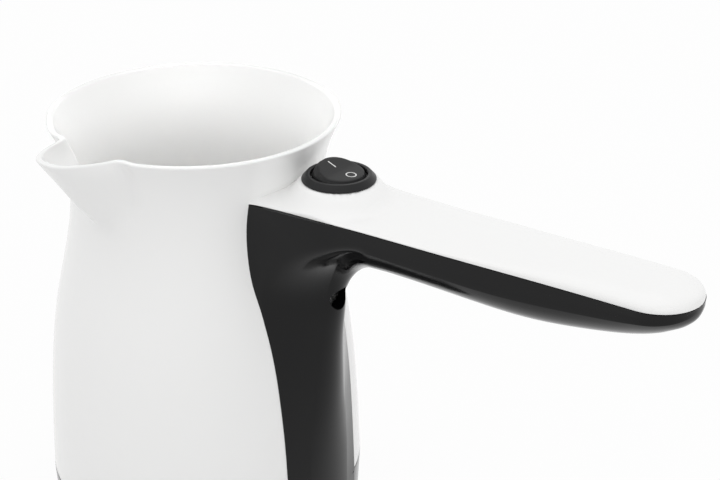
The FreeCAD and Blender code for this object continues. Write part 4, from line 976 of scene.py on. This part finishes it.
def coverRing(share, angles):
    # one ring over the cover; share runs from the pot's wall to the tip
    last = cover["crown"][-1][0]
    ring = []
    if share <= 1.0:
        nominal = mixed(cover["crown"][0][0], last, share)
        half, crown, lowSide = coverHalfAt(nominal), crownAt(nominal), coverSideAt(nominal)
    else:
        turn = (share - 1.0) * math.radians(cover["tipTurn"])
        nominal = last + cover["tipRadius"] * math.sin(turn)
        half = cover["tipRadius"] * math.cos(turn)
        crown = crownAt(last) * mixed(cover["tipCrown"], 1.0, math.cos(turn) ** cover["tipPower"])
        lowSide = coverSideAt(last) * math.cos(turn)
    for angle in angles:
        across = half * math.copysign(abs(math.cos(angle)) ** cover["spacing"], math.cos(angle))
        height = coverHeight(nominal, across, half, crown, lowSide)
        x = nominal
        if share < cover["wallShare"]:
            level = cover["parting"] - pot["lowEdge"] + height
            wall = math.sqrt(max(potRadiusAt(level) ** 2 - across ** 2, 0)) - cover["sink"]
            x = mixed(wall, nominal, ease(share / cover["wallShare"]))
            height = coverHeight(x, across, half, crownAt(x), lowSide)
        ring.append(Vector((x, across, cover["parting"] + height)))
    return ring


def buildCover():
    counts = cover["rings"]
    angles = [math.pi * step / counts["across"] for step in range(counts["across"] + 1)]
    shares = [counts["wallShare"] * step / counts["wall"] for step in range(counts["wall"])]
    shares += list(np.linspace(counts["wallShare"], 1.0, counts["length"]))
    shares += [1 + step / counts["tip"] for step in range(1, counts["tip"] + 1)]
    rings = []
    for share in shares:
        top = coverRing(share, angles)
        low = cover["parting"] + cover["seam"]
        first, last = top[0], top[-1]
        left = Vector((last.x, last.y, low))
        right = Vector((first.x, first.y, low))
        middle = [left.lerp(right, step / counts["under"]) for step in range(1, counts["under"])]
        rings.append(top + [left] + middle + [right])
    bm = sweepRings(rings)
    return finishPiece(bm, "handleCover", "pot", ["handle_cover"], sharpAngle=50)


handleCover = buildCover()
handleCover.data.materials.append(materials["potWhite"])
print("cover made")


# Round switch: bezel and rocker

switch = {
    "place": 57.4,
    "seat": 132.0,
    "pivot": 131.0,
    "tilt": 13.0,
    # radius, height above the seat, rounding
    "bezel": [(8.85, -6.0, 0), (8.85, 2.0, 0.35), (10.0, 2.0, 0.5), (11.5, 0.35, 0.25), (11.5, 0.0, 0),
              (9.95, 0.0, 0), (9.95, -6.0, 0)],
    "rockerRadius": 8.55,
    "rockerTop": 3.9,
    "facet": 9.0,
    "rockerLow": -1.4,
    "edgeRounding": 0.5,
    "valley": 0.9,
    "bezelSegments": 128,
    "rockerSegments": 96,
    # shares out to the edge, steps round it, shares down the ball, steps of the edge's search
    "topShares": (0.02, 0.15, 0.3, 0.45, 0.6, 0.75, 0.87),
    "edgeSteps": 5,
    "ballShares": (0.12, 0.25, 0.4, 0.55, 0.7, 0.85, 1.0),
    "edgeSearch": 30,
}


def buildBezel():
    points = roundedProfile(switch["bezel"])
    bm = spinProfile(points, switch["bezelSegments"], closed=True)
    bmesh.ops.translate(bm, vec=(switch["place"], 0, switch["seat"]), verts=bm.verts)
    return finishPiece(bm, "switchBezel", "pot", ["switch_housing"], sharpAngle=30)


def rockerTopAt(x):
    # two facets that rise outwards, joined by a soft valley
    rise = math.tan(math.radians(switch["facet"]))
    return switch["rockerTop"] + rise * (math.sqrt(x * x + switch["valley"] ** 2) - switch["valley"])


def rockerEdgeAt(azimuth):
    # radius where the top skin meets the ball
    low, high = 0.0, switch["rockerRadius"]
    for step in range(switch["edgeSearch"]):
        middle = (low + high) / 2
        height = rockerTopAt(middle * math.cos(azimuth))
        if middle ** 2 + height ** 2 < switch["rockerRadius"] ** 2:
            low = middle
        else:
            high = middle
    return low


def buildRocker():
    segments = switch["rockerSegments"]
    azimuths = [2 * math.pi * step / segments for step in range(segments)]
    rings = []
    soft = switch["edgeRounding"]
    for share in switch["topShares"]:
        ring = []
        for azimuth in azimuths:
            reach = (rockerEdgeAt(azimuth) - soft) * share
            x, y = reach * math.cos(azimuth), reach * math.sin(azimuth)
            ring.append(Vector((x, y, rockerTopAt(x))))
        rings.append(ring)
    for step in range(switch["edgeSteps"] + 1):
        turn = math.pi / 2 * step / switch["edgeSteps"]
        ring = []
        for azimuth in azimuths:
            reach = rockerEdgeAt(azimuth)
            height = rockerTopAt(reach * math.cos(azimuth))
            inner = reach - soft
            topHeight = rockerTopAt(inner * math.cos(azimuth))
            outward = inner + soft * math.sin(turn)
            down = mixed(topHeight, height - soft, 1 - math.cos(turn))
            ring.append(Vector((outward * math.cos(azimuth), outward * math.sin(azimuth), down)))
        rings.append(ring)
    for share in switch["ballShares"]:
        ring = []
        for azimuth in azimuths:
            start = rockerTopAt(rockerEdgeAt(azimuth) * math.cos(azimuth)) - soft
            height = mixed(start, switch["rockerLow"], share)
            reach = math.sqrt(switch["rockerRadius"] ** 2 - height ** 2)
            ring.append(Vector((reach * math.cos(azimuth), reach * math.sin(azimuth), height)))
        rings.append(ring)
    bm = sweepRings(rings)
    return placeOnRocker(bm, "rockerCap", ["switch_rocker"], sharpAngle=30)


def placeOnRocker(bm, name, nodes, sharpAngle):
    tilt = Matrix.Rotation(math.radians(switch["tilt"]), 3, "Y")
    bmesh.ops.rotate(bm, verts=bm.verts, cent=(0, 0, 0), matrix=tilt)
    bmesh.ops.translate(bm, vec=(switch["place"], 0, switch["pivot"]), verts=bm.verts)
    return finishPiece(bm, name, "rocker", nodes, sharpAngle=sharpAngle)


marks = {
    "distance": 3.7,
    "barLength": 3.2,
    "barWidth": 0.42,
    "ringRadius": 1.7,
    "ringWidth": 0.38,
    "proud": 0.04,
    "segments": 48,
}


def layOnRocker(bm):
    for vert in bm.verts:
        vert.co.z += rockerTopAt(vert.co.x) + marks["proud"]


def buildMarks():
    # a grid of unit size is drawn out into the bar
    bm = bmesh.new()
    made = bmesh.ops.create_grid(bm, x_segments=12, y_segments=2, size=0.5)
    bmesh.ops.scale(bm, vec=(marks["barLength"], marks["barWidth"], 1), verts=made["verts"])
    bmesh.ops.translate(bm, vec=(-marks["distance"], 0, 0), verts=made["verts"])
    layOnRocker(bm)
    bar = placeOnRocker(bm, "onMark", [], sharpAngle=40)
    bm = bmesh.new()
    outer = bmesh.ops.create_circle(bm, cap_ends=False, radius=marks["ringRadius"],
                                    segments=marks["segments"])["verts"]
    outerEdges = list(bm.edges)
    inner = bmesh.ops.create_circle(bm, cap_ends=False, radius=marks["ringRadius"] - marks["ringWidth"],
                                    segments=marks["segments"])["verts"]
    innerEdges = [edge for edge in bm.edges if edge not in outerEdges]
    bmesh.ops.bridge_loops(bm, edges=outerEdges + innerEdges)
    bmesh.ops.translate(bm, vec=(marks["distance"], 0, 0), verts=outer + inner)
    layOnRocker(bm)
    ring = placeOnRocker(bm, "offMark", [], sharpAngle=40)
    return bar, ring


switchBezel = buildBezel()
switchBezel.data.materials.append(materials["bezelBlack"])
rockerCap = buildRocker()
rockerCap.data.materials.append(materials["switchBlack"])
for mark in buildMarks():
    mark.data.materials.append(materials["markWhite"])
print("switch made")


# Floor

floorLook = {"halfSize": 6.0, "grey": 0.74, "roughness": 0.9, "specular": 0.1, "glow": 0.955}


def buildFloor():
    bm = bmesh.new()
    bmesh.ops.create_grid(bm, x_segments=1, y_segments=1, size=floorLook["halfSize"])
    floor = newObject(bm, "floor")
    material, nodes, links, shader = newMaterial("floorPaper")
    shader.inputs["Base Color"].default_value = (*[floorLook["grey"]] * 3, 1)
    shader.inputs["Roughness"].default_value = floorLook["roughness"]
    shader.inputs["Specular IOR Level"].default_value = floorLook["specular"]
    glow = nodes.new("ShaderNodeEmission")
    mixer = nodes.new("ShaderNodeMixShader")
    share = nodes.new("ShaderNodeMath")
    share.operation = "MULTIPLY"
    share.inputs[1].default_value = floorLook["glow"]
    links.new(addSeenRays(nodes, links), share.inputs[0])
    links.new(share.outputs[0], mixer.inputs["Fac"])
    links.new(shader.outputs["BSDF"], mixer.inputs[1])
    links.new(glow.outputs["Emission"], mixer.inputs[2])
    links.new(mixer.outputs["Shader"], nodes["Material Output"].inputs["Surface"])
    floor.data.materials.append(material)


buildFloor()
print("floor laid")
